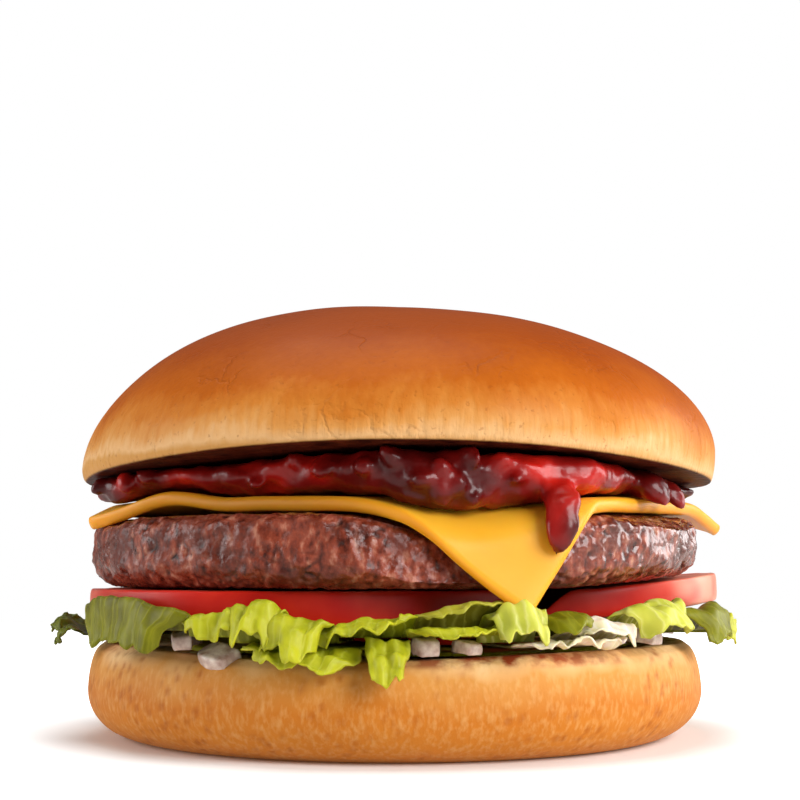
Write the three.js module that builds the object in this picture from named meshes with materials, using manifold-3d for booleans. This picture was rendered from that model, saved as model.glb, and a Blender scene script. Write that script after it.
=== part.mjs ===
// A cheeseburger, in millimetres, +Z up, with its front towards -Y.
// From the bottom: bun heel, chopped onion and lettuce, two tomato slices, beef patty,
// a cheese slice with one corner hanging down in front, chunky red relish, bun crown.
// The origin is the middle of the flat base that the burger stands on.
import * as THREE from "three";
import { ImprovedNoise } from "three/addons/math/ImprovedNoise.js";
import { mergeVertices } from "three/addons/utils/BufferGeometryUtils.js";
import Module from "manifold-3d";

// Driving dimensions
const CROWN_RADIUS = 54.3;
const HEEL_RADIUS = 51.9;
const HEEL_HEIGHT = 14.4;
const SALAD_HEIGHT = 4.9;
const TOMATO_THICKNESS = 5.1;
const PATTY_RADIUS = 51.6;
const PATTY_THICKNESS = 11.2;
const CHEESE_SIDE = 81.4;
const CHEESE_THICKNESS = 2.2;
const BURGER_HEIGHT = 72.1;
const GAP = 0.3; // air between pieces that rest on each other

// Levels of the stack
const TOMATO_BOTTOM = HEEL_HEIGHT + SALAD_HEIGHT;
const PATTY_BOTTOM = TOMATO_BOTTOM + TOMATO_THICKNESS + GAP;
const PATTY_TOP = PATTY_BOTTOM + PATTY_THICKNESS;
const CHEESE_MIDDLE = PATTY_TOP + GAP + CHEESE_THICKNESS / 2;

const wasm = await Module();
wasm.setup();
const perlin = new ImprovedNoise();
const radians = THREE.MathUtils.degToRad;
const lerp = THREE.MathUtils.lerp;
const smooth = THREE.MathUtils.smoothstep;

// Angles run anticlockwise seen from above: 0 is the right side, -90 the front, 180 the left.
const turnBetween = (a, b) => {
  const turn = (a - b) % 360;
  return turn > 180 ? turn - 360 : turn < -180 ? turn + 360 : turn;
};
const bell = (angle, middle, width) => Math.exp(-((turnBetween(angle, middle) / width) ** 2));
const degrees = (x, y) => THREE.MathUtils.radToDeg(Math.atan2(y, x));
const cosine = (angle) => Math.cos(radians(angle));
const sine = (angle) => Math.sin(radians(angle));

// Solids

function solidOf(geometry) {
  const bare = geometry.index ? geometry.toNonIndexed() : geometry.clone();
  bare.deleteAttribute("normal");
  bare.deleteAttribute("uv");
  const merged = mergeVertices(bare, 1e-4);
  return new wasm.Manifold(
    new wasm.Mesh({
      numProp: 3,
      vertProperties: merged.attributes.position.array,
      triVerts: new Uint32Array(merged.index.array),
    }),
  );
}

function geometryOf(solid) {
  const mesh = solid.getMesh();
  const position = new Float32Array(mesh.numVert * 3);
  for (let i = 0; i < mesh.numVert; i++)
    position.set(mesh.vertProperties.subarray(i * mesh.numProp, i * mesh.numProp + 3), i * 3);
  const geometry = new THREE.BufferGeometry();
  geometry.setAttribute("position", new THREE.BufferAttribute(position, 3));
  geometry.setIndex(new THREE.BufferAttribute(mesh.triVerts, 1));
  return geometry;
}

// A closed mesh as a solid, with its faces turned round if they point inwards.
function facingOut(geometry) {
  const made = solidOf(geometry);
  if (made.volume() > 0) return made;
  const index = geometry.index.array;
  for (let i = 0; i < index.length; i += 3) [index[i + 1], index[i + 2]] = [index[i + 2], index[i + 1]];
  return solidOf(geometry);
}

// The largest body of a solid that a cut may have split.
function largestBody(solid) {
  const bodies = solid.decompose();
  return bodies.reduce((a, b) => (b.volume() > a.volume() ? b : a));
}

// A turned shape about Z whose profile points are [radius, height], lowest first. Each point
// of the surface then goes where place(radius, angle, height) sends it.
function turned(profile, segments, place) {
  const points = profile.map(([r, z]) => new THREE.Vector2(r, z));
  const geometry = new THREE.LatheGeometry(points, segments).rotateX(Math.PI / 2);
  const position = geometry.attributes.position;
  for (let i = 0; i < position.count; i++) {
    const [x, y, z] = [position.getX(i), position.getY(i), position.getZ(i)];
    const radius = Math.hypot(x, y);
    const [r, angle, height] = place(radius, radius > 1e-6 ? degrees(x, y) : 0, z);
    position.setXYZ(i, r * cosine(angle), r * sine(angle), height);
  }
  return geometry;
}

// Points on a quarter ellipse from angle a to angle b about a centre, in a profile.
function arc(centreR, centreZ, radiusR, radiusZ, from, to, steps) {
  return Array.from({ length: steps + 1 }, (_, i) => {
    const a = radians(lerp(from, to, i / steps));
    return [centreR + radiusR * Math.cos(a), centreZ + radiusZ * Math.sin(a)];
  });
}

// Bun heel: a flat base, bulging sides and a sliced top
const HEEL_BASE_RADIUS = 43;
const HEEL_BULGE_Z = 8.2;
const HEEL_RIM_RADIUS = 50.5;
const HEEL_DISH_RADIUS = 41; // the filling presses the top down this far out
const RIM_FULL_RADIUS = 47; // from here out the rim stands at its full height

// The rim of the sliced top stands up round the dish, but not in front.
const rimRise = (angle) => 1.2 * (1 - bell(angle, -103, 30));
const heelRadius = (angle) => 1 - 0.013 * cosine(angle) + 0.006 * cosine(2 * angle + 40);

function heel(grow = 0) {
  const side = HEEL_RADIUS - HEEL_BASE_RADIUS;
  const rim = HEEL_RADIUS - HEEL_RIM_RADIUS + 0.8;
  const profile = [
    [0, -grow],
    [HEEL_BASE_RADIUS / 2, -grow],
    ...arc(HEEL_BASE_RADIUS, HEEL_BULGE_Z, side + grow, HEEL_BULGE_Z + grow, -90, 0, 4),
    ...arc(HEEL_RADIUS - rim, HEEL_BULGE_Z, rim + grow, HEEL_HEIGHT - HEEL_BULGE_Z - 0.6 + grow, 30, 78, 2),
    [HEEL_RIM_RADIUS - 1.6, HEEL_HEIGHT + grow],
    [HEEL_DISH_RADIUS, HEEL_HEIGHT + grow],
    [0, HEEL_HEIGHT + grow],
  ];
  return turned(profile, 48, (r, angle, z) => {
    const lump = 0.35 * perlin.noise((r * cosine(angle)) / 17, (r * sine(angle)) / 17, z / 12);
    const free = z > 0.5 && z < HEEL_HEIGHT ? 1 : 0;
    const atRim = smooth(z, HEEL_BULGE_Z, HEEL_HEIGHT) * smooth(r, HEEL_DISH_RADIUS, RIM_FULL_RADIUS);
    return [r * heelRadius(angle) + lump * free, angle, z + rimRise(angle) * atRim];
  });
}

// Bun crown: a dome over a slightly arched cut face, fuller on the right side
const CROWN_CUT = 43.8; // mean height of the cut edge
const CROWN_EQUATOR = 46.8;
const CROWN_CUT_RADIUS = 53.2;

const cutEdge = (angle) => CROWN_CUT - 1.8 * cosine(2 * angle);
const cutFace = (r, angle) => lerp(CROWN_CUT + 0.9, cutEdge(angle), Math.min(1, r / CROWN_CUT_RADIUS) ** 2);
const crownEquator = (angle) => CROWN_EQUATOR + 1.7 * cosine(angle) - 0.9 * cosine(2 * angle);

function crown() {
  const lip = CROWN_RADIUS - CROWN_CUT_RADIUS;
  const profile = [
    [0, CROWN_CUT],
    [CROWN_CUT_RADIUS * 0.5, CROWN_CUT],
    [CROWN_CUT_RADIUS * 0.85, CROWN_CUT],
    ...arc(CROWN_CUT_RADIUS, CROWN_EQUATOR, lip, CROWN_EQUATOR - CROWN_CUT, -84, 0, 3),
    ...arc(0, CROWN_EQUATOR, CROWN_RADIUS, BURGER_HEIGHT - CROWN_EQUATOR, 9, 90, 8),
  ];
  return turned(profile, 48, (r, angle, z) => {
    const [low, middle] = [cutFace(r, angle), crownEquator(angle)];
    const below = (z - CROWN_CUT) / (CROWN_EQUATOR - CROWN_CUT);
    const above = (z - CROWN_EQUATOR) / (BURGER_HEIGHT - CROWN_EQUATOR);
    const full = 1.3 * Math.sin(Math.PI * Math.max(0, above) ** 2.5) * Math.max(0, -cosine(angle));
    const height = above > 0 ? lerp(middle, BURGER_HEIGHT, above) + full : low + below * (middle - low);
    const outline = 1 + 0.004 * cosine(2 * angle + 30) + 0.003 * cosine(5 * angle);
    const lump = 0.45 * perlin.noise((r * cosine(angle)) / 22, (r * sine(angle)) / 22, z / 22);
    const shift = r > 5 ? lump : 0;
    const shoulder = 1 - 0.012 * Math.sin(Math.PI * Math.max(0, above));
    return [r * outline * shoulder + shift, angle, height + shift * Math.max(0, above)];
  });
}

// Tomato: the left slice lies flat. The right slice dips under it and rises to the right.
const LEFT_TOMATO = { x: -14.5, y: -8.5, radius: 36.6 };
const RIGHT_TOMATO = { x: 22, y: 5, radius: 33.5, dip: 15.7, dipThickness: 3.2, thickness: 4.6 };
const TOMATO_UNEVEN = 0.012;

function tomatoSlice(radius, grow) {
  const round = 1.6;
  const half = 0.5;
  return turned(
    [
      [0, -half - grow],
      [radius * 0.6, -half - grow],
      [radius - round, -half - grow],
      [radius + grow, -half * 0.45],
      [radius + grow, half * 0.45],
      [radius - round * 0.6, half + grow],
      [radius * 0.6, half + grow],
      [0, half + grow],
    ],
    32,
    (r, angle, z) => [r * (1 + TOMATO_UNEVEN * cosine(3 * angle + 50)), angle, z],
  );
}

// Lowest height and thickness of the right slice, which flops up past the left slice's edge.
function rightTomatoBed(x, y) {
  const fromLeft = Math.hypot(x - LEFT_TOMATO.x, y - LEFT_TOMATO.y);
  const up = smooth(fromLeft, LEFT_TOMATO.radius + 2, LEFT_TOMATO.radius + 10);
  const { dip, dipThickness, thickness } = RIGHT_TOMATO;
  const tilt = Math.max(0, x - 31) * 0.1;
  return { low: lerp(dip, TOMATO_BOTTOM + 0.6, up) + tilt, thickness: lerp(dipThickness, thickness, up) };
}

function tomato(which, grow = 0) {
  const geometry = tomatoSlice(which.radius, grow);
  const position = geometry.attributes.position;
  for (let i = 0; i < position.count; i++) {
    const [x, y] = [position.getX(i) + which.x, position.getY(i) + which.y];
    const flat = { low: TOMATO_BOTTOM, thickness: TOMATO_THICKNESS };
    const bed = which === RIGHT_TOMATO ? rightTomatoBed(x, y) : flat;
    const share = position.getZ(i);
    const rise = Math.sign(share) * Math.min(Math.abs(share), 0.5) + 0.5;
    const extra = Math.abs(share) > 0.5 ? Math.sign(share) * grow : 0;
    position.setXYZ(i, x, y, bed.low + rise * bed.thickness + extra);
  }
  return geometry;
}

// A patty lifts a little on its right side, where the tomato slice under it is raised.
const pattyLift = (x) => 1.9 * smooth(x, 20, 52);

// Cheese: a square slice laid on the patty, which bends down past a line near each of its corners
const CHEESE_CENTRE = { x: 4.4, y: -3.9 };
const CHEESE_TURN = 16;
// The direction of each fold, its distance from the axis, the radius of the bend and the angle
// at which the slice hangs past it. The one in front comes first.
const FOLDS = [
  { at: -79, from: 46.4, radius: 4, hang: 80 },
  { at: -29, from: 43.5, radius: 8, hang: 26 },
  { at: 8, from: 48, radius: 14, hang: 20 },
  { at: 103, from: 46, radius: 10, hang: 24 },
  { at: 214, from: 44.5, radius: 8, hang: 22 },
];
const FRONT_FOLD = FOLDS[0];

const reachOf = (fold, x, y) => x * cosine(fold.at) + y * sine(fold.at);
const cheeseWave = (r, angle) =>
  smooth(r, 30, 44) * (1.3 * bell(angle, 218, 9) + 0.2 * bell(angle, 240, 7)) -
  4 * smooth(r, 38, 50) * bell(angle, 282, 15);

// How far a fold leans, pulls in and lowers what lies at this reach in its direction.
function bendPast({ from, radius, hang }, reach) {
  const past = Math.max(0, reach - from);
  const steepest = radians(hang);
  const lean = Math.min(past / radius, steepest);
  const straight = Math.max(0, past - radius * steepest);
  const inwards = past - radius * Math.sin(lean) - straight * Math.cos(steepest);
  return { lean, inwards, down: radius * (1 - Math.cos(lean)) + straight * Math.sin(steepest) };
}

// Where a point of the flat slice ends up, and the upward normal there.
function drape(x, y) {
  const middle = new THREE.Vector3(x, y, CHEESE_MIDDLE + cheeseWave(Math.hypot(x, y), degrees(x, y)));
  const up = new THREE.Vector3(0, 0, 1);
  for (const fold of FOLDS) {
    const out = new THREE.Vector3(cosine(fold.at), sine(fold.at), 0);
    const { lean, inwards, down } = bendPast(fold, reachOf(fold, x, y));
    middle.addScaledVector(out, -inwards);
    middle.z -= down;
    up.addScaledVector(out, Math.tan(lean));
  }
  middle.z += 0.45 * pattyLift(middle.x);
  return { middle, up: up.normalize() };
}

function cheese(grow = 0) {
  const steps = 15;
  const side = CHEESE_SIDE + 2 * grow;
  const geometry = new THREE.BoxGeometry(side, side, CHEESE_THICKNESS + 2 * grow, steps, steps, 1);
  geometry.rotateZ(radians(CHEESE_TURN + 45)).translate(CHEESE_CENTRE.x, CHEESE_CENTRE.y, 0);
  const position = geometry.attributes.position;
  for (let i = 0; i < position.count; i++) {
    const { middle, up } = drape(position.getX(i), position.getY(i));
    position.setXYZ(i, ...middle.addScaledVector(up, position.getZ(i)));
  }
  return geometry;
}

// Reach of the lower face of the corner that hangs in front, where it has come down to a height.
function flapInside(height) {
  const half = CHEESE_THICKNESS / 2;
  for (let reach = FRONT_FOLD.from; reach < 60; reach += 0.25) {
    const { lean, inwards, down } = bendPast(FRONT_FOLD, reach);
    if (CHEESE_MIDDLE - down - half * Math.cos(lean) < height) return reach - inwards - half * Math.sin(lean);
  }
  return Infinity;
}

const cheeseLift = (x, y) => 0.45 * pattyLift(x) + cheeseWave(Math.hypot(x, y), degrees(x, y));

// Height just below the slice, the corner that hangs in front left out.
function cheeseUnder(x, y) {
  const down = FOLDS.slice(1).reduce((sum, fold) => sum + bendPast(fold, reachOf(fold, x, y)).down, 0);
  return CHEESE_MIDDLE + cheeseLift(x, y) - down - 0.62 * CHEESE_THICKNESS - GAP;
}

// Beef patty: a craggy disc with nearly upright sides, pressed in under the hanging cheese corner
const PATTY_CLEAR = 1.6; // between its side and the cheese that bends down over it
const PATTY_CENTRE = 46; // further out than this it is craggy
const FOLD_DIP = 0.3; // how much lower than by itself the front fold hangs between two folds
const PATTY_LOW_ROUND = 4.4;
const PATTY_HIGH_ROUND = 2.8;

const pattyRadius = (angle) => {
  const uneven = 0.5 * bell(angle, 185, 30) - 0.5 * bell(angle, -10, 30);
  return PATTY_RADIUS + uneven - 1.2 * bell(angle, FRONT_FOLD.at, 24);
};

function patty(grow = 0) {
  const [low, high] = [PATTY_LOW_ROUND + grow, PATTY_HIGH_ROUND + grow];
  const profile = [
    [0, PATTY_BOTTOM - grow],
    [PATTY_CENTRE * 0.55, PATTY_BOTTOM - grow],
    ...arc(PATTY_RADIUS - PATTY_LOW_ROUND, PATTY_BOTTOM + PATTY_LOW_ROUND, low, low, -88, 0, 3),
    ...arc(PATTY_RADIUS - PATTY_HIGH_ROUND, PATTY_TOP - PATTY_HIGH_ROUND, high, high, 0, 88, 3),
    [PATTY_CENTRE * 0.55, PATTY_TOP + grow],
    [0, PATTY_TOP + grow],
  ];
  return turned(profile, 56, (r, angle, z) => {
    const [x, y] = [r * cosine(angle), r * sine(angle)];
    const edge = smooth(r, PATTY_CENTRE - 4, PATTY_CENTRE + 3);
    const crag = perlin.noise(x / 5.5, y / 5.5, z / 4.5) + 0.6 * perlin.noise(x / 2.7, y / 2.7, z / 2.7 + 7);
    const top = smooth(z, PATTY_BOTTOM, PATTY_TOP);
    const sag = top * (0.3 * edge * Math.abs(crag) + 0.15 * (r / PATTY_CENTRE) ** 6);
    const height = Math.min(z + pattyLift(x) * (1 - 0.55 * top) - sag, cheeseUnder(x, y));
    const free = (r * pattyRadius(angle)) / PATTY_RADIUS + edge * 0.55 * crag;
    const towards = Math.max(cosine(angle - FRONT_FOLD.at), 0.3);
    const reach = flapInside(height - cheeseLift(x, y) + FOLD_DIP) - PATTY_CLEAR + grow;
    const side = r > PATTY_CENTRE - 6 ? reach / towards : Infinity;
    return [Math.min(free, side), angle, height];
  });
}

// Relish: a lumpy glossy layer between cheese and crown, with drips over the cheese's edge
const RELISH_HEIGHT = 9.5; // it fills what the crown leaves free up to this
const RELISH_RADIUS = 50.8;
const RELISH_INSET = 0.9; // how far inside the cheese's edge it stays
const RELISH_OVER_FOLD = 1.2; // how far it runs on past the fold in front
const RELISH_GAP = GAP + 0.2;

// Distance from the axis to the edge of the flat cheese slice.
function cheeseEdge(angle) {
  const half = CHEESE_SIDE / 2;
  const reach = [0, 90, 180, 270].map((side) => {
    const normal = radians(side + CHEESE_TURN + 45);
    const towards = Math.cos(radians(angle) - normal);
    const offset = CHEESE_CENTRE.x * Math.cos(normal) + CHEESE_CENTRE.y * Math.sin(normal);
    return towards > 1e-6 ? (half + offset) / towards : Infinity;
  });
  return Math.min(...reach);
}

const relishEdge = (angle) => {
  const overFold = (FRONT_FOLD.from + RELISH_OVER_FOLD) / Math.max(cosine(angle - FRONT_FOLD.at), 0.3);
  return Math.min(cheeseEdge(angle) - RELISH_INSET, overFold, RELISH_RADIUS);
};

function relishLayer() {
  const profile = [
    [0, 0],
    [0.5, 0],
    [0.84, 0],
    [0.97, 0],
    [1, 0.15],
    [1, 0.75],
    [0.97, 0.97],
    [0.8, 1],
    [0.5, 1],
    [0, 1],
  ];
  return turned(profile, 48, (share, angle, level) => {
    const r = share * relishEdge(angle);
    const [x, y] = [r * cosine(angle), r * sine(angle)];
    const lump = perlin.noise(x / 4.2, y / 4.2, level * 1.3) * smooth(share, 0.7, 1) * (level > 0.1 ? 1 : 0);
    const { middle, up } = drape(x, y);
    const low = middle.z + CHEESE_THICKNESS / 2 / Math.max(up.z, 0.5) + RELISH_GAP;
    const high = Math.min(cutFace(r, angle) - RELISH_GAP, low + RELISH_HEIGHT + lump * 0.9);
    const bulge = 1.7 * smooth(level, 0.05, 0.5) * smooth(share, 0.75, 1);
    const out = Math.hypot(middle.x, middle.y) + lump * 0.9 + bulge;
    return [out, degrees(middle.x, middle.y), lerp(low, Math.max(high, low + 0.8), level)];
  });
}

// A drip runs over the draped cheese between two places on the flat slice and ends in a round
// drop. Its section is rounded on top and flat where it lies on the cheese.
function drip({ from, to, width }) {
  const steps = 6;
  const sides = 8;
  const way = to.clone().sub(from).normalize();
  const aside = new THREE.Vector2(-way.y, way.x);
  const ringPoint = (t, k) => {
    const swell = width * (0.86 + 0.3 * Math.sin(t * Math.PI * 0.9)) * Math.sqrt(Math.max(0.05, 1 - t ** 7));
    const turn = (k / sides) * Math.PI * 2;
    const flat = from.clone().lerp(to, t).addScaledVector(aside, swell * Math.sin(turn));
    const { middle, up } = drape(flat.x, flat.y);
    const out = CHEESE_THICKNESS / 2 + RELISH_GAP + 0.62 * swell * (1 + Math.cos(turn));
    return middle.addScaledVector(up, out).toArray();
  };
  const points = [];
  for (let i = 0; i <= steps; i++) for (let k = 0; k < sides; k++) points.push(ringPoint(i / steps, k));
  const middle = (i) => {
    const ring = points.slice(i * sides, (i + 1) * sides);
    return [0, 1, 2].map((axis) => ring.reduce((sum, point) => sum + point[axis], 0) / sides);
  };
  points.push(middle(0), middle(steps));
  const faces = [];
  for (let k = 0; k < sides; k++) {
    const next = (k + 1) % sides;
    for (let i = 0; i < steps; i++) {
      const [a, b] = [i * sides + k, i * sides + next];
      faces.push(a, b, b + sides, a, b + sides, a + sides);
    }
    faces.push(points.length - 2, next, k);
    faces.push(points.length - 1, steps * sides + k, steps * sides + next);
  }
  const geometry = new THREE.BufferGeometry();
  geometry.setAttribute("position", new THREE.Float32BufferAttribute(points.flat(), 3));
  geometry.setIndex(faces);
  return geometry;
}

const DRIPS = [
  { from: [23.6, -37.5], to: [22.9, -51.2], width: 2.2 },
  { from: [34.6, -23.8], to: [41.6, -28.4], width: 2.9 },
  { from: [37.1, -19.7], to: [45.2, -24], width: 2.3 },
  { from: [-7.3, 41.4], to: [-8.7, 49.2], width: 2.6 },
].map(({ from, to, width }) => ({ from: new THREE.Vector2(...from), to: new THREE.Vector2(...to), width }));

function relish() {
  return DRIPS.reduce((sum, d) => sum.add(facingOut(drip(d))), solidOf(relishLayer()));
}

// Lettuce: torn ruffled leaves, each a thin sheet. It lies level between heel and tomato, then
// curves by a knee to a free edge, which waves up and down and in and out.
// A leaf's values, in order: at and spread, the middle and half width in degrees; layer, 1 next
// to the heel and 4 next to the tomato; out, the distance of its edge from the axis; knee and
// edge, heights above the level part; tilt and lip, how much these rise from the middle to one
// end; ruffle and curl, the size of the waves upwards and outwards; waves, how many; and phase.
const LEAF_THICKNESS = 0.5;
const LEAF_LAYER = LEAF_THICKNESS + GAP;
const LEAF_ROOT = 36.5;
const LEAF_START = 46.5; // where a leaf may leave the level, unless a tomato reaches further
const KNEE_SHARE = 0.62;
const LEVEL_SHARE = 0.3;
const LEAVES = [
  [192, 10, 2, 58.4, 2.6, 0.6, 0, -1.6, 1, 0.8, 1.7, 0.15],
  [222.5, 13, 4, 56.8, 9.6, -2.4, -1.4, 0.3, 0.5, 0.5, 1, 0.3],
  [241, 6.5, 3, 55.2, 6.4, 0, 0.6, 0.3, 0.7, 0.8, 1.4, 0.8],
  [247.5, 5, 2, 55.8, 10.6, 0.6, 0.4, -0.4, 1.3, 1, 1.5, 0.1],
  [253.5, 6, 2, 56.2, 7, -1.5, -0.2, -0.2, 0.9, 0.9, 1.5, 0.55],
  [254.5, 9.5, 1, 55.6, 0.4, -2.6, -0.5, -1.1, 0.4, 0.5, 1.2, 0.6],
  [264.5, 8.5, 3, 54.6, 3, 0.6, 1.7, 2, 0.5, 0.6, 1.3, 0.5],
  [268.4, 3.6, 2, 56, 1.4, -4.8, -0.3, -0.3, 0.8, 1.5, 1.1, 0.9],
  [282, 9.5, 4, 52.2, 5.2, 3, 1.3, 1.3, 0.3, 0.4, 1, 0.2],
  [280.5, 9, 3, 54.2, 1.4, 0.6, 0.3, 0.4, 0.4, 0.6, 1.4, 0.7],
  [289.5, 5.4, 2, 55.8, 10.4, 0.6, 0, 0, 1, 1, 1.4, 0.35],
  [298.5, 6.5, 3, 54.4, 5.6, 0.7, -0.6, -0.4, 0.6, 0.6, 1.3, 0.05],
  [306.5, 7.5, 2, 54.6, 4.4, 0.5, -0.4, -0.4, 0.7, 0.8, 1.6, 0.65],
  [302, 11, 1, 53.4, 0.8, 0.3, 0.2, 0.2, 0.4, 0.5, 1.3, 0.45],
  [319.5, 9.5, 2, 56.2, 9.6, 1.2, 0.4, 0.4, 0.8, 0.8, 1.2, 0.6],
  [340, 10, 3, 57, 8, -1, -0.4, 0, 1, 0.7, 1.3, 0.25],
  [7, 16, 2, 57.4, 4.6, -0.6, 0.4, 0.4, 1.4, 0.8, 2.1, 0.9],
  [38, 16, 3, 57, 5.4, -2, -0.5, -0.5, 1.4, 1, 2, 0.4],
  [68, 16, 4, 55.8, 4.8, -1, 0.4, 0.4, 1.5, 1.2, 2.1, 0.7],
  [98, 16, 2, 55.4, 4.2, -1.6, 0, 0, 1.5, 1.1, 2, 0.15],
  [128, 16, 3, 56, 4.6, -2.2, 0.5, 0.5, 1.4, 1.2, 1.9, 0.5],
  [158, 17, 4, 57, 5.4, -1.4, -0.5, -0.5, 1.4, 1.1, 2.2, 0.85],
].map(([at, spread, layer, out, knee, edge, tilt, lip, ruffle, curl, waves, phase]) => (
  { at, spread, layer, out, knee, edge, tilt, lip, ruffle, curl, waves, phase }
));

const leafLevel = (leaf) => HEEL_HEIGHT + 1.95 + LEAF_LAYER * (leaf.layer - 1);

// Distance from the axis to the outermost edge of the tomato slices.
function tomatoEdge(angle) {
  const reach = [LEFT_TOMATO, RIGHT_TOMATO].map(({ x, y, radius }) => {
    const towards = x * cosine(angle) + y * sine(angle);
    return towards + Math.sqrt((radius * (1 + TOMATO_UNEVEN)) ** 2 - x * x - y * y + towards * towards);
  });
  return Math.max(...reach);
}

// The middle of a leaf's sheet at across (-1 to 1) and along (0 to 1). A leaf narrows towards its
// free edge, and its waves drift to one side as they run out.
function leafPoint(leaf, across, along) {
  const turn = Math.PI * 2;
  const t = Math.max(0, (along - LEVEL_SHARE) / (1 - LEVEL_SHARE));
  const angle = leaf.at + leaf.spread * across * (1 - 0.3 * smooth(t, 0.6, 1) * Math.abs(across));
  const on = (r, z) => new THREE.Vector3(r * cosine(angle), r * sine(angle), z);
  const start = Math.max(LEAF_START, tomatoEdge(angle) + 2 * GAP);
  const level = leafLevel(leaf);
  if (along <= LEVEL_SHARE) return on(lerp(LEAF_ROOT, start, along / LEVEL_SHARE), level);
  const drift = 0.35 * perlin.noise(across * 1.7, t * 1.6, leaf.at + 10 * leaf.layer);
  const wave = Math.sin(turn * ((across * leaf.waves) / 2 + leaf.phase + drift));
  const small = Math.sin(turn * (across * leaf.waves * 1.3 + leaf.phase * 3.1 + 2 * drift));
  const sway = Math.cos(turn * ((across * leaf.waves) / 2 + leaf.phase * 1.7 + drift));
  const end = Math.max(start + 2, lerp(start + 1, leaf.out, 1 - 0.3 * Math.abs(across) ** 3));
  const arched = (leaf.knee + leaf.tilt * across) * (1 - 0.25 * across ** 2);
  const knee = { r: lerp(start, end, KNEE_SHARE), z: arched + 0.5 * leaf.ruffle * wave };
  const ruffled = leaf.ruffle * (0.8 * wave + 0.5 * small);
  const edge = { r: end + 0.6 * leaf.curl * sway, z: leaf.edge + leaf.lip * across + ruffled };
  const [a, b, c] = [(1 - t) ** 2, 2 * t * (1 - t), t ** 2];
  return on(a * start + b * knee.r + c * edge.r, level + b * knee.z + c * edge.z);
}

function leafSheet(leaf, grow = 0) {
  const thickness = LEAF_THICKNESS + 2 * grow;
  const stations = [0, LEVEL_SHARE, 0.48, 0.66, 0.84, 1];
  const long = stations.length - 1;
  const wide = Math.round(3.6 + leaf.spread * 0.34);
  const wider = 1 + grow / 8;
  const middle = (i, j) => leafPoint(leaf, ((i / wide) * 2 - 1) * wider, stations[j] * wider);
  const normal = (column, row) => {
    const i = Math.min(wide - 1, Math.max(1, column));
    const j = Math.min(long - 1, row);
    const across = middle(i + 1, j).sub(middle(i - 1, j));
    const along = middle(i, j + 1).sub(middle(i, Math.max(0, j - 1)));
    return along.cross(across).normalize();
  };
  const points = [];
  for (const side of [-0.5, 0.5])
    for (let j = 0; j <= long; j++)
      for (let i = 0; i <= wide; i++)
        points.push(middle(i, j).addScaledVector(normal(i, j), side * thickness).toArray());
  const at = (i, j, face) => face * (wide + 1) * (long + 1) + j * (wide + 1) + i;
  const faces = [];
  const quad = (a, b, c, d) => faces.push(a, b, c, a, c, d);
  for (let j = 0; j < long; j++)
    for (let i = 0; i < wide; i++) {
      quad(at(i, j, 0), at(i + 1, j, 0), at(i + 1, j + 1, 0), at(i, j + 1, 0));
      faces.push(at(i, j, 1), at(i + 1, j + 1, 1), at(i + 1, j, 1));
      faces.push(at(i, j, 1), at(i, j + 1, 1), at(i + 1, j + 1, 1));
    }
  for (let i = 0; i < wide; i++) {
    quad(at(i, 0, 0), at(i, 0, 1), at(i + 1, 0, 1), at(i + 1, 0, 0));
    quad(at(i, long, 0), at(i + 1, long, 0), at(i + 1, long, 1), at(i, long, 1));
  }
  for (let j = 0; j < long; j++) {
    quad(at(0, j, 0), at(0, j + 1, 0), at(0, j + 1, 1), at(0, j, 1));
    quad(at(wide, j, 0), at(wide, j, 1), at(wide, j + 1, 1), at(wide, j + 1, 0));
  }
  const geometry = new THREE.BufferGeometry();
  geometry.setAttribute("position", new THREE.Float32BufferAttribute(points.flat(), 3));
  geometry.setIndex(faces);
  return geometry;
}

// Lettuce bed: one flat wavy leaf between the heel and the tomato, right through the burger
const BED_RADIUS = 38.6;

function lettuceBed(grow = 0) {
  const half = 0.3 + grow;
  const profile = [
    [0, -half],
    [BED_RADIUS / 2, -half],
    [BED_RADIUS + grow, -half],
    [BED_RADIUS + grow, half],
    [BED_RADIUS / 2, half],
    [0, half],
  ];
  return turned(profile, 24, (r, angle, z) => {
    const ragged = r * (1 + 0.03 * cosine(5 * angle) + 0.025 * cosine(11 * angle + 60));
    return [ragged, angle, HEEL_HEIGHT + GAP + 0.35 + z];
  });
}

// Onion: chopped pieces, each a bent block with tapered ends, lying on the heel's rim
const ONIONS = [
  { at: 229, r: 48.6, length: 6.2, width: 3.6, height: 2.4, turn: 30, tip: -8 },
  { at: 237.5, r: 49.6, length: 6.6, width: 4.4, height: 2.2, turn: 70, tip: -30 },
  { at: 274.5, r: 46.6, length: 5.2, width: 3.4, height: 2.6, turn: 10, tip: -4 },
  { at: 281.5, r: 47, length: 5.8, width: 2.8, height: 1.9, turn: 12, tip: 0 },
  { at: 322, r: 46.8, length: 7, width: 3.2, height: 2.2, turn: -10, tip: 0 },
  { at: 8, r: 47, length: 5.6, width: 3.4, height: 2.2, turn: 20, tip: 0 },
  { at: 84, r: 47, length: 5.4, width: 3.2, height: 2.2, turn: -20, tip: 0 },
  { at: 112, r: 47.8, length: 6, width: 4, height: 2.1, turn: 30, tip: -6 },
  { at: 163, r: 47.4, length: 5.6, width: 3.4, height: 2.2, turn: -40, tip: 0 },
];

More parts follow.
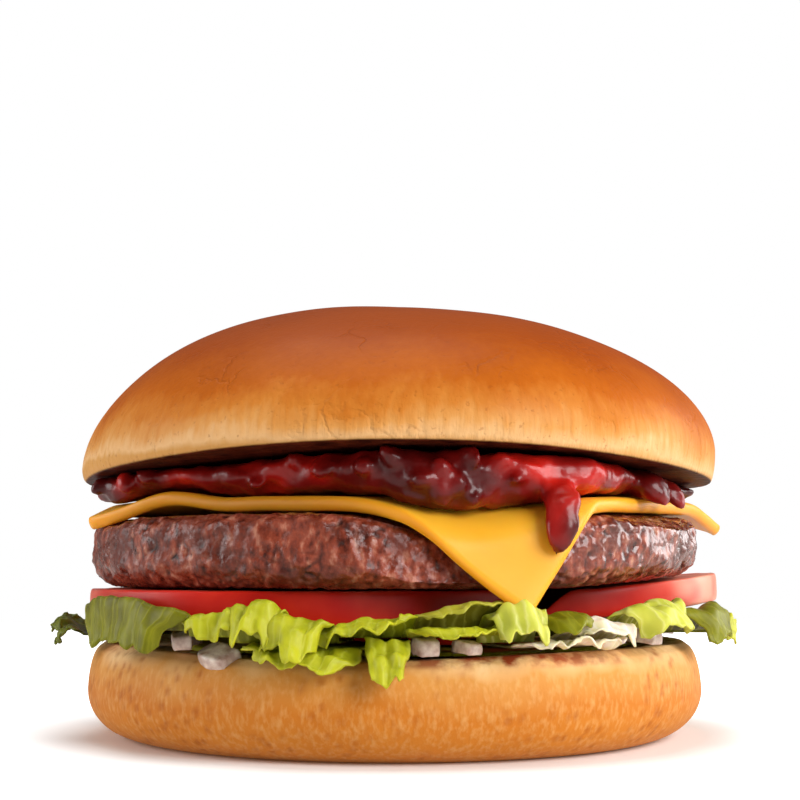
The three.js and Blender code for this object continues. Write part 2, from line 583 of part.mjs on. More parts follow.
function onionPiece({ at, r, length, width, height, turn, tip }, grow = 0) {
  const geometry = new THREE.BoxGeometry(length + 2 * grow, width + 2 * grow, height + 2 * grow, 3, 2, 1);
  const position = geometry.attributes.position;
  for (let i = 0; i < position.count; i++) {
    const [x, y, z] = [position.getX(i), position.getY(i), position.getZ(i)];
    const end = (2 * x) / length;
    const across = y * (1 - 0.22 * end * end) + 0.08 * x * x;
    position.setXYZ(i, x, across, z * (1 - 0.18 * Math.abs(end)) - 0.05 * x * x);
  }
  geometry.rotateZ(radians(turn)).rotateY(radians(-tip));
  geometry.computeBoundingBox();
  const low = tip < -20 ? -height * 0.1 : -geometry.boundingBox.min.z - grow;
  return geometry.translate(r, 0, HEEL_HEIGHT + rimRise(at) + GAP + low + 0.2).rotateZ(radians(at));
}

// Materials
const material = (color, roughness) => new THREE.MeshStandardMaterial({ color, roughness, metalness: 0 });
const BAKED_BROWN = material("#c8752a", 0.42);
const BAKED_GOLD = material("#dd9a4e", 0.6);
const BEEF = material("#7a4436", 0.5);
const CHEESE_YELLOW = material("#f2a52c", 0.35);
const RELISH_RED = material("#7a1410", 0.15);
const TOMATO_RED = material("#c02a1c", 0.25);
const LEAF_GREEN = material("#8fae2c", 0.4);
const ONION_WHITE = material("#e2cfc6", 0.3);

// Assembly
const burger = new THREE.Group();

function place(name, geometry, look) {
  const mesh = new THREE.Mesh(geometry, look);
  mesh.name = name;
  burger.add(mesh);
}

place("bun_heel", geometryOf(solidOf(heel())), BAKED_GOLD);
place("tomato_slice_left", geometryOf(solidOf(tomato(LEFT_TOMATO))), TOMATO_RED);
place("tomato_slice_right", geometryOf(solidOf(tomato(RIGHT_TOMATO))), TOMATO_RED);
place("beef_patty", geometryOf(solidOf(patty())), BEEF);
place("cheese_slice", geometryOf(solidOf(cheese())), CHEESE_YELLOW);
place("relish", geometryOf(relish()), RELISH_RED);
place("bun_crown", geometryOf(solidOf(crown())), BAKED_BROWN);

// What the salad keeps clear of. Each piece is cut where it would meet one placed before it.
let taken = [heel(GAP), tomato(LEFT_TOMATO, GAP), tomato(RIGHT_TOMATO, GAP), patty(GAP), cheese(GAP)]
  .map(solidOf)
  .reduce((sum, s) => sum.add(s));

function placeClear(name, piece, grown, look) {
  const meets = piece.intersect(taken).volume() > 0;
  place(name, geometryOf(meets ? largestBody(piece.subtract(taken)) : piece), look);
  taken = taken.add(grown).add(piece);
}

placeClear("lettuce_bed", solidOf(lettuceBed()), solidOf(lettuceBed(GAP)), LEAF_GREEN);
ONIONS.forEach((onion, i) => {
  const [piece, grown] = [solidOf(onionPiece(onion)), solidOf(onionPiece(onion, GAP))];
  placeClear(`onion_${i + 1}`, piece, grown, ONION_WHITE);
});
LEAVES.forEach((leaf, i) => {
  const [piece, grown] = [facingOut(leafSheet(leaf)), facingOut(leafSheet(leaf, GAP))];
  placeClear(`lettuce_leaf_${i + 1}`, piece, grown, LEAF_GREEN);
});

export default burger;
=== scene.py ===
# The cheeseburger, dressed: every piece of food is remade where its CAD solid is, with the relief,
# colour and gloss of the real thing. Shapes are worked out in millimetres and made in metres.
import math
import bpy
import numpy as np
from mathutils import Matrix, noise


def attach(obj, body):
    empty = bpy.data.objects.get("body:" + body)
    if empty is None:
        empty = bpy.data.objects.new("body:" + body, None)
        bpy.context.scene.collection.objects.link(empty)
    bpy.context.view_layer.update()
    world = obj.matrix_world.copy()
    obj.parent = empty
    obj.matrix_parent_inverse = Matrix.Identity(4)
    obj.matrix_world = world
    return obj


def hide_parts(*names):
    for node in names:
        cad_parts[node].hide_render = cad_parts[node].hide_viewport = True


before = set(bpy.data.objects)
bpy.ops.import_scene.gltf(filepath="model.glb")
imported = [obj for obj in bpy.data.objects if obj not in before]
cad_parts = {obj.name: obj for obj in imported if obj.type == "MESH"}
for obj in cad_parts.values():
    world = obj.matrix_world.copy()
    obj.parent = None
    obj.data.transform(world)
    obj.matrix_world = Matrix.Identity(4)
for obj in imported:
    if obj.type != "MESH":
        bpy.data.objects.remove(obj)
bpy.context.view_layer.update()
scene = bpy.context.scene

# Studio
# A white table in a pale room, lit by four large soft lights: in front on the right, behind on the right,
# overhead and low on the left. The table also glows as painted light, so that it looks white away from the
# burger. The camera stands low in front and looks a little upwards.
MM = 0.001
CAMERA_DISTANCE = 260.0
CAMERA_HEIGHT = 27.7
CAMERA_RIGHT = 0.35
CAMERA_TILT = 6.5
CAMERA_LENS = 66.51
TABLE_SIZE = 1000.0
# The table's painted glow: where it starts and where it is full, in mm from the axis, its strength to the
# camera and its strength on other rays.
TABLE_NO_GLOW_TO = 52.0
TABLE_FULL_GLOW_FROM = 76.0
TABLE_CAMERA_GLOW = 0.8
TABLE_BOUNCE_GLOW = 0.08
ROOM_LIGHT = 0.2
LAMPS_AIM_AT = 35.0
LIGHTS = [
    # name, place in mm, size in mm, watts
    ("key_light", (430, -400, 300), 380, 4.2),
    ("right_light", (520, 190, 170), 340, 1.6),
    ("top_light", (-80, 40, 600), 480, 1.9),
    ("left_light", (-470, -60, 160), 300, 1.2),
]


def linear(code):
    """The linear colour of an sRGB hex value, with an alpha of 1."""
    parts = [int(code[i : i + 2], 16) / 255 for i in (1, 3, 5)]
    return (*[p / 12.92 if p <= 0.04045 else ((p + 0.055) / 1.055) ** 2.4 for p in parts], 1.0)


def add(tree, kind, inputs=None, stops=(), **settings):
    """Adds a node. Each input is given a value, or the socket it is linked from. Stops are a ramp's."""
    node = tree.nodes.new(kind)
    for name, value in settings.items():
        setattr(node, name, value)
    for key, value in (inputs or {}).items():
        if isinstance(value, bpy.types.NodeSocket):
            tree.links.new(value, node.inputs[key])
        else:
            node.inputs[key].default_value = value
    for i, (place, code) in enumerate(stops):
        ramp = node.color_ramp.elements
        stop = ramp[i] if i < 2 else ramp.new(place)
        stop.position = place
        stop.color = linear(code)
    return node


def finish_of(name, **constants):
    """A new material, its node tree, its Principled shader with these constants set, and the socket
    that gives each point's place on the object."""
    material = bpy.data.materials.new(name)
    material.use_nodes = True
    tree = material.node_tree
    shader = tree.nodes["Principled BSDF"]
    for key, value in constants.items():
        shader.inputs[key.replace("_", " ")].default_value = value
    return material, tree, shader, add(tree, "ShaderNodeTexCoord").outputs["Object"]


def mixed(tree, share, first, second):
    """A mix of two colours, each a hex value or a socket. A share of 1 is all of the second."""
    pair = [linear(c) if isinstance(c, str) else c for c in (first, second)]
    return add(tree, "ShaderNodeMix", {0: share, 6: pair[0], 7: pair[1]}, data_type="RGBA").outputs[2]


def spanned(tree, value, low, high, first=0.0, last=1.0):
    """A value's run from low to high turned into a run from first to last, and held past its ends."""
    runs = {"Value": value, "From Min": low, "From Max": high, "To Min": first, "To Max": last}
    return add(tree, "ShaderNodeMapRange", runs).outputs[0]


def glowing_white_table():
    """White laminate with a painted glow. To the camera it is near white and glows, not at all near the
    burger and fully from a little way out, so it looks white right to the horizon while the real shade under
    the burger stays. To light that bounces off it, it is greyer and glows only a little."""
    matt = {"Roughness": 0.7, "Specular_IOR_Level": 0.2, "Emission_Color": linear("#ffffff")}
    material, tree, shader, place = finish_of("white_laminate_with_painted_glow", **matt)
    seen = add(tree, "ShaderNodeLightPath").outputs["Is Camera Ray"]
    # Painted light: camera rays see a whiter table than the light it throws up.
    tree.links.new(mixed(tree, seen, "#d8d2cc", "#fafafa"), shader.inputs["Base Color"])
    far = add(tree, "ShaderNodeVectorMath", {0: place}, operation="LENGTH").outputs["Value"]
    # Painted glow: none near the burger's axis, rising to full a little way out.
    around = spanned(tree, far, TABLE_NO_GLOW_TO * MM, TABLE_FULL_GLOW_FROM * MM, 0.0, TABLE_CAMERA_GLOW)
    strength = add(tree, "ShaderNodeMix", {0: seen, 2: TABLE_BOUNCE_GLOW, 3: around}).outputs[0]
    tree.links.new(strength, shader.inputs["Emission Strength"])
    return material


bpy.ops.mesh.primitive_plane_add(size=TABLE_SIZE * MM)
floor = bpy.context.object
floor.name = "table"
floor.data.materials.append(glowing_white_table())

world = bpy.data.worlds.new("pale_room")
world.use_nodes = True
scene.world = world
seen = add(world.node_tree, "ShaderNodeLightPath").outputs["Is Camera Ray"]
brightness = add(world.node_tree, "ShaderNodeMix", {0: seen, 2: ROOM_LIGHT, 3: 1.0}).outputs[0]
world.node_tree.nodes["Background"].inputs["Color"].default_value = linear("#ffffff")
world.node_tree.links.new(brightness, world.node_tree.nodes["Background"].inputs["Strength"])

for name, place, size, watts in LIGHTS:
    light = bpy.data.lights.new(name, "AREA")
    light.energy = watts
    light.size = size * MM
    lamp = bpy.data.objects.new(name, light)
    lamp.location = [v * MM for v in place]
    towards = -lamp.location
    towards.z += LAMPS_AIM_AT * MM
    lamp.rotation_euler = towards.to_track_quat("-Z", "Y").to_euler()
    scene.collection.objects.link(lamp)

camera = bpy.data.objects.new("camera", bpy.data.cameras.new("camera"))
camera.data.lens = CAMERA_LENS
camera.location = (CAMERA_RIGHT * MM, -CAMERA_DISTANCE * MM, CAMERA_HEIGHT * MM)
camera.rotation_euler = (math.radians(90 + CAMERA_TILT), 0, 0)
camera.data.clip_start = 0.01
scene.collection.objects.link(camera)
scene.camera = camera
scene.view_settings.view_transform = "Standard"

# Bun heel
# The lower half of a soft wheat bun. Its crust is thin and baked golden, with small dimples and
# upright streaks from the tin. The sliced top is crumb, dished by the filling.
HEEL_RADIUS = 51.9
HEEL_HEIGHT = 14.4
HEEL_BASE_RADIUS = 43.0
HEEL_BULGE_Z = 8.2
HEEL_RIM_RADIUS = 50.5
HEEL_DISH_RADIUS = 41.0
RIM_FULL_RADIUS = 47.0
RIM_RISE = 1.2
HEEL_SEGMENTS = 520
DIMPLE_SIZE = 1.7
DIMPLE_DEPTH = 0.1
GAP = 0.3


def cosine(angle):
    return np.cos(np.radians(angle))


def sine(angle):
    return np.sin(np.radians(angle))


def smooth(x, low, high):
    """A soft step, from 0 at low to 1 at high."""
    t = np.clip((x - low) / (high - low), 0, 1)
    return t * t * (3 - 2 * t)


def bell(angle, middle, width):
    """A soft bump of 1 at the middle angle. Angles are 0 on the right, -90 in front."""
    turn = (angle - middle + 180) % 360 - 180
    return np.exp(-((turn / width) ** 2))


def perlin(x, y, z):
    """Perlin noise, from -1 to 1, at each point."""
    points = np.stack(np.broadcast_arrays(x, y, z), -1).reshape(-1, 3).tolist()
    values = [noise.noise(p, noise_basis="PERLIN_NEW") for p in points]
    return np.array(values).reshape(np.shape(x))


def cells(x, y, z):
    """Distances from each point to the nearest and second nearest of scattered seeds."""
    points = np.stack([x, y, z], -1).tolist()
    found = [noise.voronoi(p)[0] for p in points]
    return np.array([f[0] for f in found]), np.array([f[1] for f in found])


def arc(centre_r, centre_z, radius_r, radius_z, start, end, steps):
    """Points of an elliptic arc in a profile, from one angle to another."""
    a = np.linspace(start, end, steps + 1)
    return list(zip(centre_r + radius_r * cosine(a), centre_z + radius_z * sine(a)))


def line(corners, *steps):
    """Points of a line through these corners, without its first point. Steps lead to each corner."""
    points = []
    for start, end, count in zip(corners, corners[1:], steps):
        points += [tuple(np.add(start, np.subtract(end, start) * i / count)) for i in range(1, count + 1)]
    return points


def bearing(x, y):
    return np.degrees(np.arctan2(y, x))


def turned(profile, segments, place):
    """Points and faces of a closed turned shape. The profile runs from the lower pole to the upper
    one, and place sends each (radius, angle, height) of it to where it goes."""
    rings = len(profile) - 2
    radius, height = np.array(profile, float).T
    angle = np.tile(np.arange(segments) * 360 / segments, rings)
    ring_r, ring_z = np.repeat(radius[1:-1], segments), np.repeat(height[1:-1], segments)
    r = np.concatenate([radius[:1], ring_r, radius[-1:]])
    a = np.concatenate([[0.0], angle, [0.0]])
    z = np.concatenate([height[:1], ring_z, height[-1:]])
    r, a, z = place(r, a, z)
    points = np.stack([r * cosine(a), r * sine(a), z], -1)
    last = len(points) - 1
    faces = []
    for k in range(segments):
        k2 = (k + 1) % segments
        faces.append((0, 1 + k2, 1 + k))
        faces.append((last, last - segments + k, last - segments + k2))
        for i in range(rings - 1):
            low, high = 1 + i * segments, 1 + (i + 1) * segments
            faces.append((low + k, low + k2, high + k2, high + k))
    return points, faces


def piece_of(name, points, faces, material):
    """An object of smooth faces with its points given in millimetres."""
    mesh = bpy.data.meshes.new(name)
    mesh.from_pydata((np.asarray(points) * MM).tolist(), [], faces)
    mesh.shade_smooth()
    mesh.materials.append(material)
    piece = bpy.data.objects.new(name, mesh)
    scene.collection.objects.link(piece)
    return piece


def points_of(piece):
    """A piece's points as three arrays, in millimetres."""
    co = np.zeros(len(piece.data.vertices) * 3)
    piece.data.vertices.foreach_get("co", co)
    return co.reshape(-1, 3).T / MM


def swell(piece, amount):
    """Moves each point of a piece along its normal by its amount in millimetres."""
    mesh = piece.data
    normals = np.zeros(len(mesh.vertices) * 3)
    mesh.vertex_normals.foreach_get("vector", normals)
    moved = points_of(piece).T + normals.reshape(-1, 3) * np.reshape(amount, (-1, 1))
    mesh.vertices.foreach_set("co", (moved * MM).ravel())
    mesh.update()


def paint(piece, name, values):
    """Stores a value for each point of a piece, for its material to read."""
    piece.data.attributes.new(name, "FLOAT", "POINT").data.foreach_set("value", values)


def rim_rise(angle):
    return RIM_RISE * (1 - bell(angle, -103, 30))


def heel_place(r, angle, z):
    outline = 1 - 0.013 * cosine(angle) + 0.006 * cosine(2 * angle + 40)
    lump = 0.35 * perlin(r * cosine(angle) / 17, r * sine(angle) / 17, z / 12)
    free = smooth(z, 0.0, 1.5) * (1 - smooth(z, HEEL_HEIGHT - 1, HEEL_HEIGHT))
    at_rim = smooth(z, HEEL_BULGE_Z, HEEL_HEIGHT) * smooth(r, HEEL_DISH_RADIUS, RIM_FULL_RADIUS)
    return r * outline + lump * free, angle, z + rim_rise(angle) * at_rim


def dimples(x, y, z, size):
    """How deep in a dimple each point lies, from 0 to 1. They are taller than wide."""
    near, _ = cells(x / size, y / size, z / (size * 1.3))
    patch = smooth(perlin(x / 9, y / 9, z / 9 + 4), -0.35, 0.3)
    return smooth(0.5 - near, 0.0, 0.4) * patch


def maths(tree, operation, *values):
    """What a Math node makes of these numbers or sockets."""
    return add(tree, "ShaderNodeMath", dict(enumerate(values)), operation=operation).outputs[0]


def noise_at(tree, place, size, detail, output=0):
    """Noise whose lumps are this many millimetres across."""
    spots = {"Vector": place, "Scale": 1 / (size * MM), "Detail": detail}
    return add(tree, "ShaderNodeTexNoise", spots).outputs[output]


def painted_value(tree, name):
    return add(tree, "ShaderNodeAttribute", attribute_name=name).outputs["Fac"]


def ramp(tree, value, *stops):
    """A colour ramp. Its first two stops are its lowest and its highest."""
    return add(tree, "ShaderNodeValToRGB", {0: value}, stops).outputs[0]


def roughen(tree, shader, height, strength, depth):
    """Gives a shader relief of this strength and of this depth in millimetres."""
    relief = {"Height": height, "Strength": strength, "Distance": depth * MM}
    tree.links.new(add(tree, "ShaderNodeBump", relief).outputs[0], shader.inputs["Normal"])


def baked_heel_crust():
    """Thin wheat crust baked in a tin: dry and golden, browner near the base, with a fine grain.
    The sliced top is paler crumb, stained by a little tomato juice along its front edge. Its dimples are
    darkened with painted shade."""
    material, tree, shader, place = finish_of("baked_heel_crust", Roughness=0.6, Specular_IOR_Level=0.2)
    height = add(tree, "ShaderNodeSeparateXYZ", {0: place}).outputs["Z"]
    streaks = add(tree, "ShaderNodeMapping", {"Vector": place, "Scale": (1, 1, 0.45)}).outputs[0]
    grain = noise_at(tree, streaks, 0.75, 4.0)
    up = spanned(tree, height, 0.0, (HEEL_HEIGHT + RIM_RISE) * MM)
    level = maths(tree, "ADD", up, maths(tree, "MULTIPLY_ADD", noise_at(tree, place, 9, 2.0), 0.5, -0.25))
    golden = [(0.0, "#d88632"), (1.0, "#f4ca90"), (0.14, "#d6842a"), (0.5, "#cc7822"), (0.8, "#d89444")]
    baked = ramp(tree, level, *golden)
    light = mixed(tree, spanned(tree, grain, 0.45, 0.8, 0.0, 0.7), baked, "#e2ab66")
    # Painted shade: the dimples are darkened towards #aa5210.
    dimples_shaded = mixed(tree, maths(tree, "MULTIPLY", painted_value(tree, "dimples"), 0.65), light, "#aa5210")
    crumb = ramp(tree, noise_at(tree, place, 2.2, 4.0), (0.35, "#c98f4e"), (0.65, "#f0d9ae"))
    whole = mixed(tree, painted_value(tree, "sliced"), dimples_shaded, crumb)
    wet = spanned(tree, noise_at(tree, place, 3.0, 3.0), 0.4, 0.6)
    stain = maths(tree, "MULTIPLY", painted_value(tree, "juice"), wet)
    tree.links.new(mixed(tree, stain, whole, "#9c3d1c"), shader.inputs["Base Color"])
    roughen(tree, shader, grain, 0.35, 0.25)
    return material


heel_rim = HEEL_RADIUS - HEEL_RIM_RADIUS + 0.8
heel_profile = [
    (0, 0),
    *line([(0, 0), (HEEL_BASE_RADIUS - 1, 0)], 12),
    *arc(HEEL_BASE_RADIUS, HEEL_BULGE_Z, HEEL_RADIUS - HEEL_BASE_RADIUS, HEEL_BULGE_Z, -90, 0, 24),
    *arc(HEEL_RADIUS - heel_rim, HEEL_BULGE_Z, heel_rim, HEEL_HEIGHT - HEEL_BULGE_Z - 0.6, 6, 78, 14),
    *line([(HEEL_RIM_RADIUS - 0.35, HEEL_HEIGHT - 0.72), (HEEL_RIM_RADIUS - 1.6, HEEL_HEIGHT)], 4),
    *line([(HEEL_RIM_RADIUS - 1.6, HEEL_HEIGHT), (HEEL_DISH_RADIUS, HEEL_HEIGHT), (0, HEEL_HEIGHT)], 10, 10),
]
heel = piece_of("heel_of_bun", *turned(heel_profile, HEEL_SEGMENTS, heel_place), baked_heel_crust())
x, y, z = points_of(heel)
side = smooth(z, 0.1, 1.0) * smooth(np.hypot(x, y), HEEL_BASE_RADIUS - 1, HEEL_BASE_RADIUS + 1)
pits = dimples(x, y, z, DIMPLE_SIZE) * side
crumb_here = 1 - smooth(np.hypot(x, y), RIM_FULL_RADIUS, RIM_FULL_RADIUS + 1.6)
sliced = smooth(z, HEEL_HEIGHT - 1.0, HEEL_HEIGHT - 0.2) * crumb_here
swell(heel, -DIMPLE_DEPTH * pits - 0.1 * sliced * perlin(x / 1.3, y / 1.3, z))
paint(heel, "dimples", pits)
paint(heel, "sliced", sliced)
front_right = bell(bearing(x, y), -72, 28)
paint(heel, "juice", front_right * smooth(z, HEEL_HEIGHT - 1.1, HEEL_HEIGHT - 0.1))
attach(heel, "root")
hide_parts("bun_heel")

# Chopped onion
# Pieces of a white onion's layers, cut with a knife: bent blocks of wet, half clear flesh with
# fine ribs along them. They lie on the heel's rim, and one has slid over its edge.
ONIONS = [
    # angle, distance from the axis, length, width, height, turn, tip
    (229, 48.6, 6.2, 3.6, 2.4, 30, -8),
    (237.5, 49.6, 6.6, 4.4, 2.2, 70, -30),
    (274.5, 46.6, 5.2, 3.4, 2.6, 10, -4),
    (281.5, 47, 5.8, 2.8, 1.9, 12, 0),
    (322, 46.8, 7, 3.2, 2.2, -10, 0),
    (8, 47, 5.6, 3.4, 2.2, 20, 0),
    (84, 47, 5.4, 3.2, 2.2, -20, 0),
    (112, 47.8, 6, 4, 2.1, 30, -6),
    (163, 47.4, 5.6, 3.4, 2.2, -40, 0),
]


def slab(length, width, height, edge, across, along):
    """Points and faces of a flat slab with round edges, its top and bottom in a grid of cells."""
    u = np.linspace(-1, 1, across + 1)
    v = np.linspace(-1, 1, along + 1)
    grid = [(a * (length / 2 - edge), b * (width / 2 - edge)) for b in v for a in u]
    columns = across + 1
    loop = list(range(across))
    loop += [across + j * columns for j in range(along)]
    loop += [along * columns + i for i in range(across, 0, -1)]
    loop += [j * columns for j in range(along, 0, -1)]
    points = [(a, b, height / 2) for a, b in grid] + [(a, b, -height / 2) for a, b in grid]
    rows = [loop]
    for angle in (60, 30, 0, -30, -60):
        rows.append(list(range(len(points), len(points) + len(loop))))
        for i in loop:
            a, b = grid[i]
            out = np.array([np.sign(a) * (abs(a) > length / 2 - edge - 1e-6),
                            np.sign(b) * (abs(b) > width / 2 - edge - 1e-6)])
            out = out / max(1.0, np.linalg.norm(out)) * edge * cosine(angle)
            points.append((a + out[0], b + out[1], height / 2 * sine(angle)))
    rows.append([i + len(grid) for i in loop])
    faces = []
    for j in range(along):
        for i in range(across):
            a = j * columns + i
            faces.append((a, a + 1, a + 1 + columns, a + columns))
            b = a + len(grid)
            faces.append((b, b + columns, b + 1 + columns, b + 1))
    for high, low in zip(rows, rows[1:]):
        for p in range(len(loop)):
            q = (p + 1) % len(loop)
            faces.append((low[p], low[q], high[q], high[p]))
    return np.array(points), faces


def onion_points(points, at, r, length, height, turn, tip):
    """Bends a slab into a piece of onion layer and lays it on the heel's rim."""
    x, y, out = points.T
    end = 2 * x / length
    across = y * (1 - 0.22 * end * end) + 0.08 * x * x
    z = out * (1 - 0.18 * np.abs(end)) - 0.05 * x * x
    turned_x = x * cosine(turn) - across * sine(turn)
    turned_y = x * sine(turn) + across * cosine(turn)
    tipped_x = turned_x * cosine(-tip) + z * sine(-tip)
    tipped_z = z * cosine(-tip) - turned_x * sine(-tip)
    low = -height * 0.1 if tip < -20 else -tipped_z.min()
    r_out = r + tipped_x
    to_right = r_out * cosine(at) - turned_y * sine(at)
    to_back = r_out * sine(at) + turned_y * cosine(at)
    height_there = HEEL_HEIGHT + rim_rise(at) + GAP + low + 0.2 + tipped_z
    return np.stack([to_right, to_back, height_there], -1)


def wet_onion_flesh():
    """Raw onion: wet, half clear and faintly pink from the sauce, with fine lengthwise ribs."""
    body = {"Subsurface_Weight": 0.35, "Subsurface_Radius": (1.2, 0.8, 0.6), "Subsurface_Scale": MM}
    material, tree, shader, place = finish_of("wet_onion_flesh", Roughness=0.22, IOR=1.38, **body)
    ribs = noise_at(tree, place, 1.4, 3.0)
    tree.links.new(ramp(tree, ribs, (0.3, "#b5948a"), (0.7, "#f0e2d6")), shader.inputs["Base Color"])
    roughen(tree, shader, ribs, 0.3, 0.2)
    return material


onion_flesh = wet_onion_flesh()
for i, (at, r, length, width, height, turn, tip) in enumerate(ONIONS):
    flat, faces = slab(length, width, height, 0.25, 14, 10)
    bent = onion_points(flat, at, r, length, height, turn, tip)
    onion = piece_of(f"onion_piece_{i + 1}", bent, faces, onion_flesh)
    x, y, z = points_of(onion)
    swell(onion, 0.12 * perlin(x / 1.6, y / 1.6, z / 1.6) + 0.05 * perlin(x / 0.6, y / 0.6, z / 0.6))
    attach(onion, "root")
    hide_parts(f"onion_{i + 1}")

# Lettuce
# Crisp curly lettuce torn by hand: thin ruffled sheets, bright at the frilled edge, with painted shade in the
# folds and towards the root under the filling, and nearly white along the ribs. One flat leaf lies right
# through the burger.
SALAD_HEIGHT = 4.9
LEFT_TOMATO = {"x": -14.5, "y": -8.5, "radius": 36.6}
RIGHT_TOMATO = {"x": 22.0, "y": 5.0, "radius": 33.5}
TOMATO_UNEVEN = 0.012
LEAF_THICKNESS = 0.3
LEAF_LAYER = 0.5 + GAP
LEAF_ROOT = 36.5
LEAF_START = 46.5
LEAF_LEVEL = HEEL_HEIGHT + 1.95
LEAST_REACH = 2.0
CELLS_A_DEGREE = 5
CELLS_ALONG = 56
CALM_LEAVES = {"leafy": 0.5, "blade": 0.5}
KNEE_SHARE = 0.62
LEVEL_SHARE = 0.3
BED_RADIUS = 38.6
BED_HALF = 0.25
BED_SEGMENTS = 220
LEAF_VALUES = "at spread layer out knee edge tilt lip ruffle curl waves phase kind".split()
LEAVES = [
    # middle and half width in degrees, layer, reach, heights of knee and edge, how much these rise
    # to one side, ruffle, curl, number of waves, phase and the kind of leaf
    [192, 10, 2, 58.4, 2.6, 0.6, 0, -1.6, 1, 0.8, 1.7, 0.15, "outer"],
    [222.5, 13, 4, 56.8, 9.6, -2.4, -1.4, 0.3, 0.5, 0.5, 1, 0.3, "leafy"],
    [241, 6.5, 3, 55.2, 6.4, 0, 0.6, 0.3, 0.7, 0.8, 1.4, 0.8, "frill"],
    [247.5, 5, 2, 55.8, 10.6, 0.6, 0.4, -0.4, 1.3, 1, 1.5, 0.1, "frill"],
    [253.5, 6, 2, 56.2, 7, -1.5, -0.2, -0.2, 0.9, 0.9, 1.5, 0.55, "frill"],
    [254.5, 9.5, 1, 55.6, 0.4, -2.6, -0.5, -1.1, 0.4, 0.5, 1.2, 0.6, "frill"],
    [264.5, 8.5, 3, 54.6, 3, 0.6, 1.7, 2, 0.5, 0.6, 1.3, 0.5, "frill"],
    [268.4, 3.6, 2, 56, 1.4, -4.8, -0.3, -0.3, 0.8, 1.5, 1.1, 0.9, "frill"],
    [282, 9.5, 4, 52.2, 5.2, 3, 1.3, 1.3, 0.3, 0.4, 1, 0.2, "blade"],
    [280.5, 9, 3, 54.2, 1.4, 0.6, 0.3, 0.4, 0.4, 0.6, 1.4, 0.7, "frill"],
    [289.5, 5.4, 2, 55.8, 10.4, 0.6, 0, 0, 1, 1, 1.4, 0.35, "pale"],
    [298.5, 6.5, 3, 54.4, 5.6, 0.7, -0.6, -0.4, 0.6, 0.6, 1.3, 0.05, "leafy"],
    [306.5, 7.5, 2, 54.6, 4.4, 0.5, -0.4, -0.4, 0.7, 0.8, 1.6, 0.65, "rib"],
    [302, 11, 1, 53.4, 0.8, 0.3, 0.2, 0.2, 0.4, 0.5, 1.3, 0.45, "rib"],
    [319.5, 9.5, 2, 56.2, 9.6, 1.2, 0.4, 0.4, 0.8, 0.8, 1.2, 0.6, "pale"],
    [340, 10, 3, 57, 8, -1, -0.4, 0, 1, 0.7, 1.3, 0.25, "leafy"],
    [7, 16, 2, 57.4, 4.6, -0.6, 0.4, 0.4, 1.4, 0.8, 2.1, 0.9, "frill"],
    [38, 16, 3, 57, 5.4, -2, -0.5, -0.5, 1.4, 1, 2, 0.4, "leafy"],
    [68, 16, 4, 55.8, 4.8, -1, 0.4, 0.4, 1.5, 1.2, 2.1, 0.7, "frill"],
    [98, 16, 2, 55.4, 4.2, -1.6, 0, 0, 1.5, 1.1, 2, 0.15, "pale"],
    [128, 16, 3, 56, 4.6, -2.2, 0.5, 0.5, 1.4, 1.2, 1.9, 0.5, "outer"],
    [158, 17, 4, 57, 5.4, -1.4, -0.5, -0.5, 1.4, 1.1, 2.2, 0.85, "leafy"],
]


def tomato_edge(angle):
    """Distance from the axis to the outermost edge of the tomato slices."""
    reach = []
    for slice_ in (LEFT_TOMATO, RIGHT_TOMATO):
        towards = slice_["x"] * cosine(angle) + slice_["y"] * sine(angle)
        full = slice_["radius"] * (1 + TOMATO_UNEVEN)
        offset = slice_["x"] ** 2 + slice_["y"] ** 2
        reach.append(towards + np.sqrt(full**2 - offset + towards**2))
    return np.maximum(*reach)


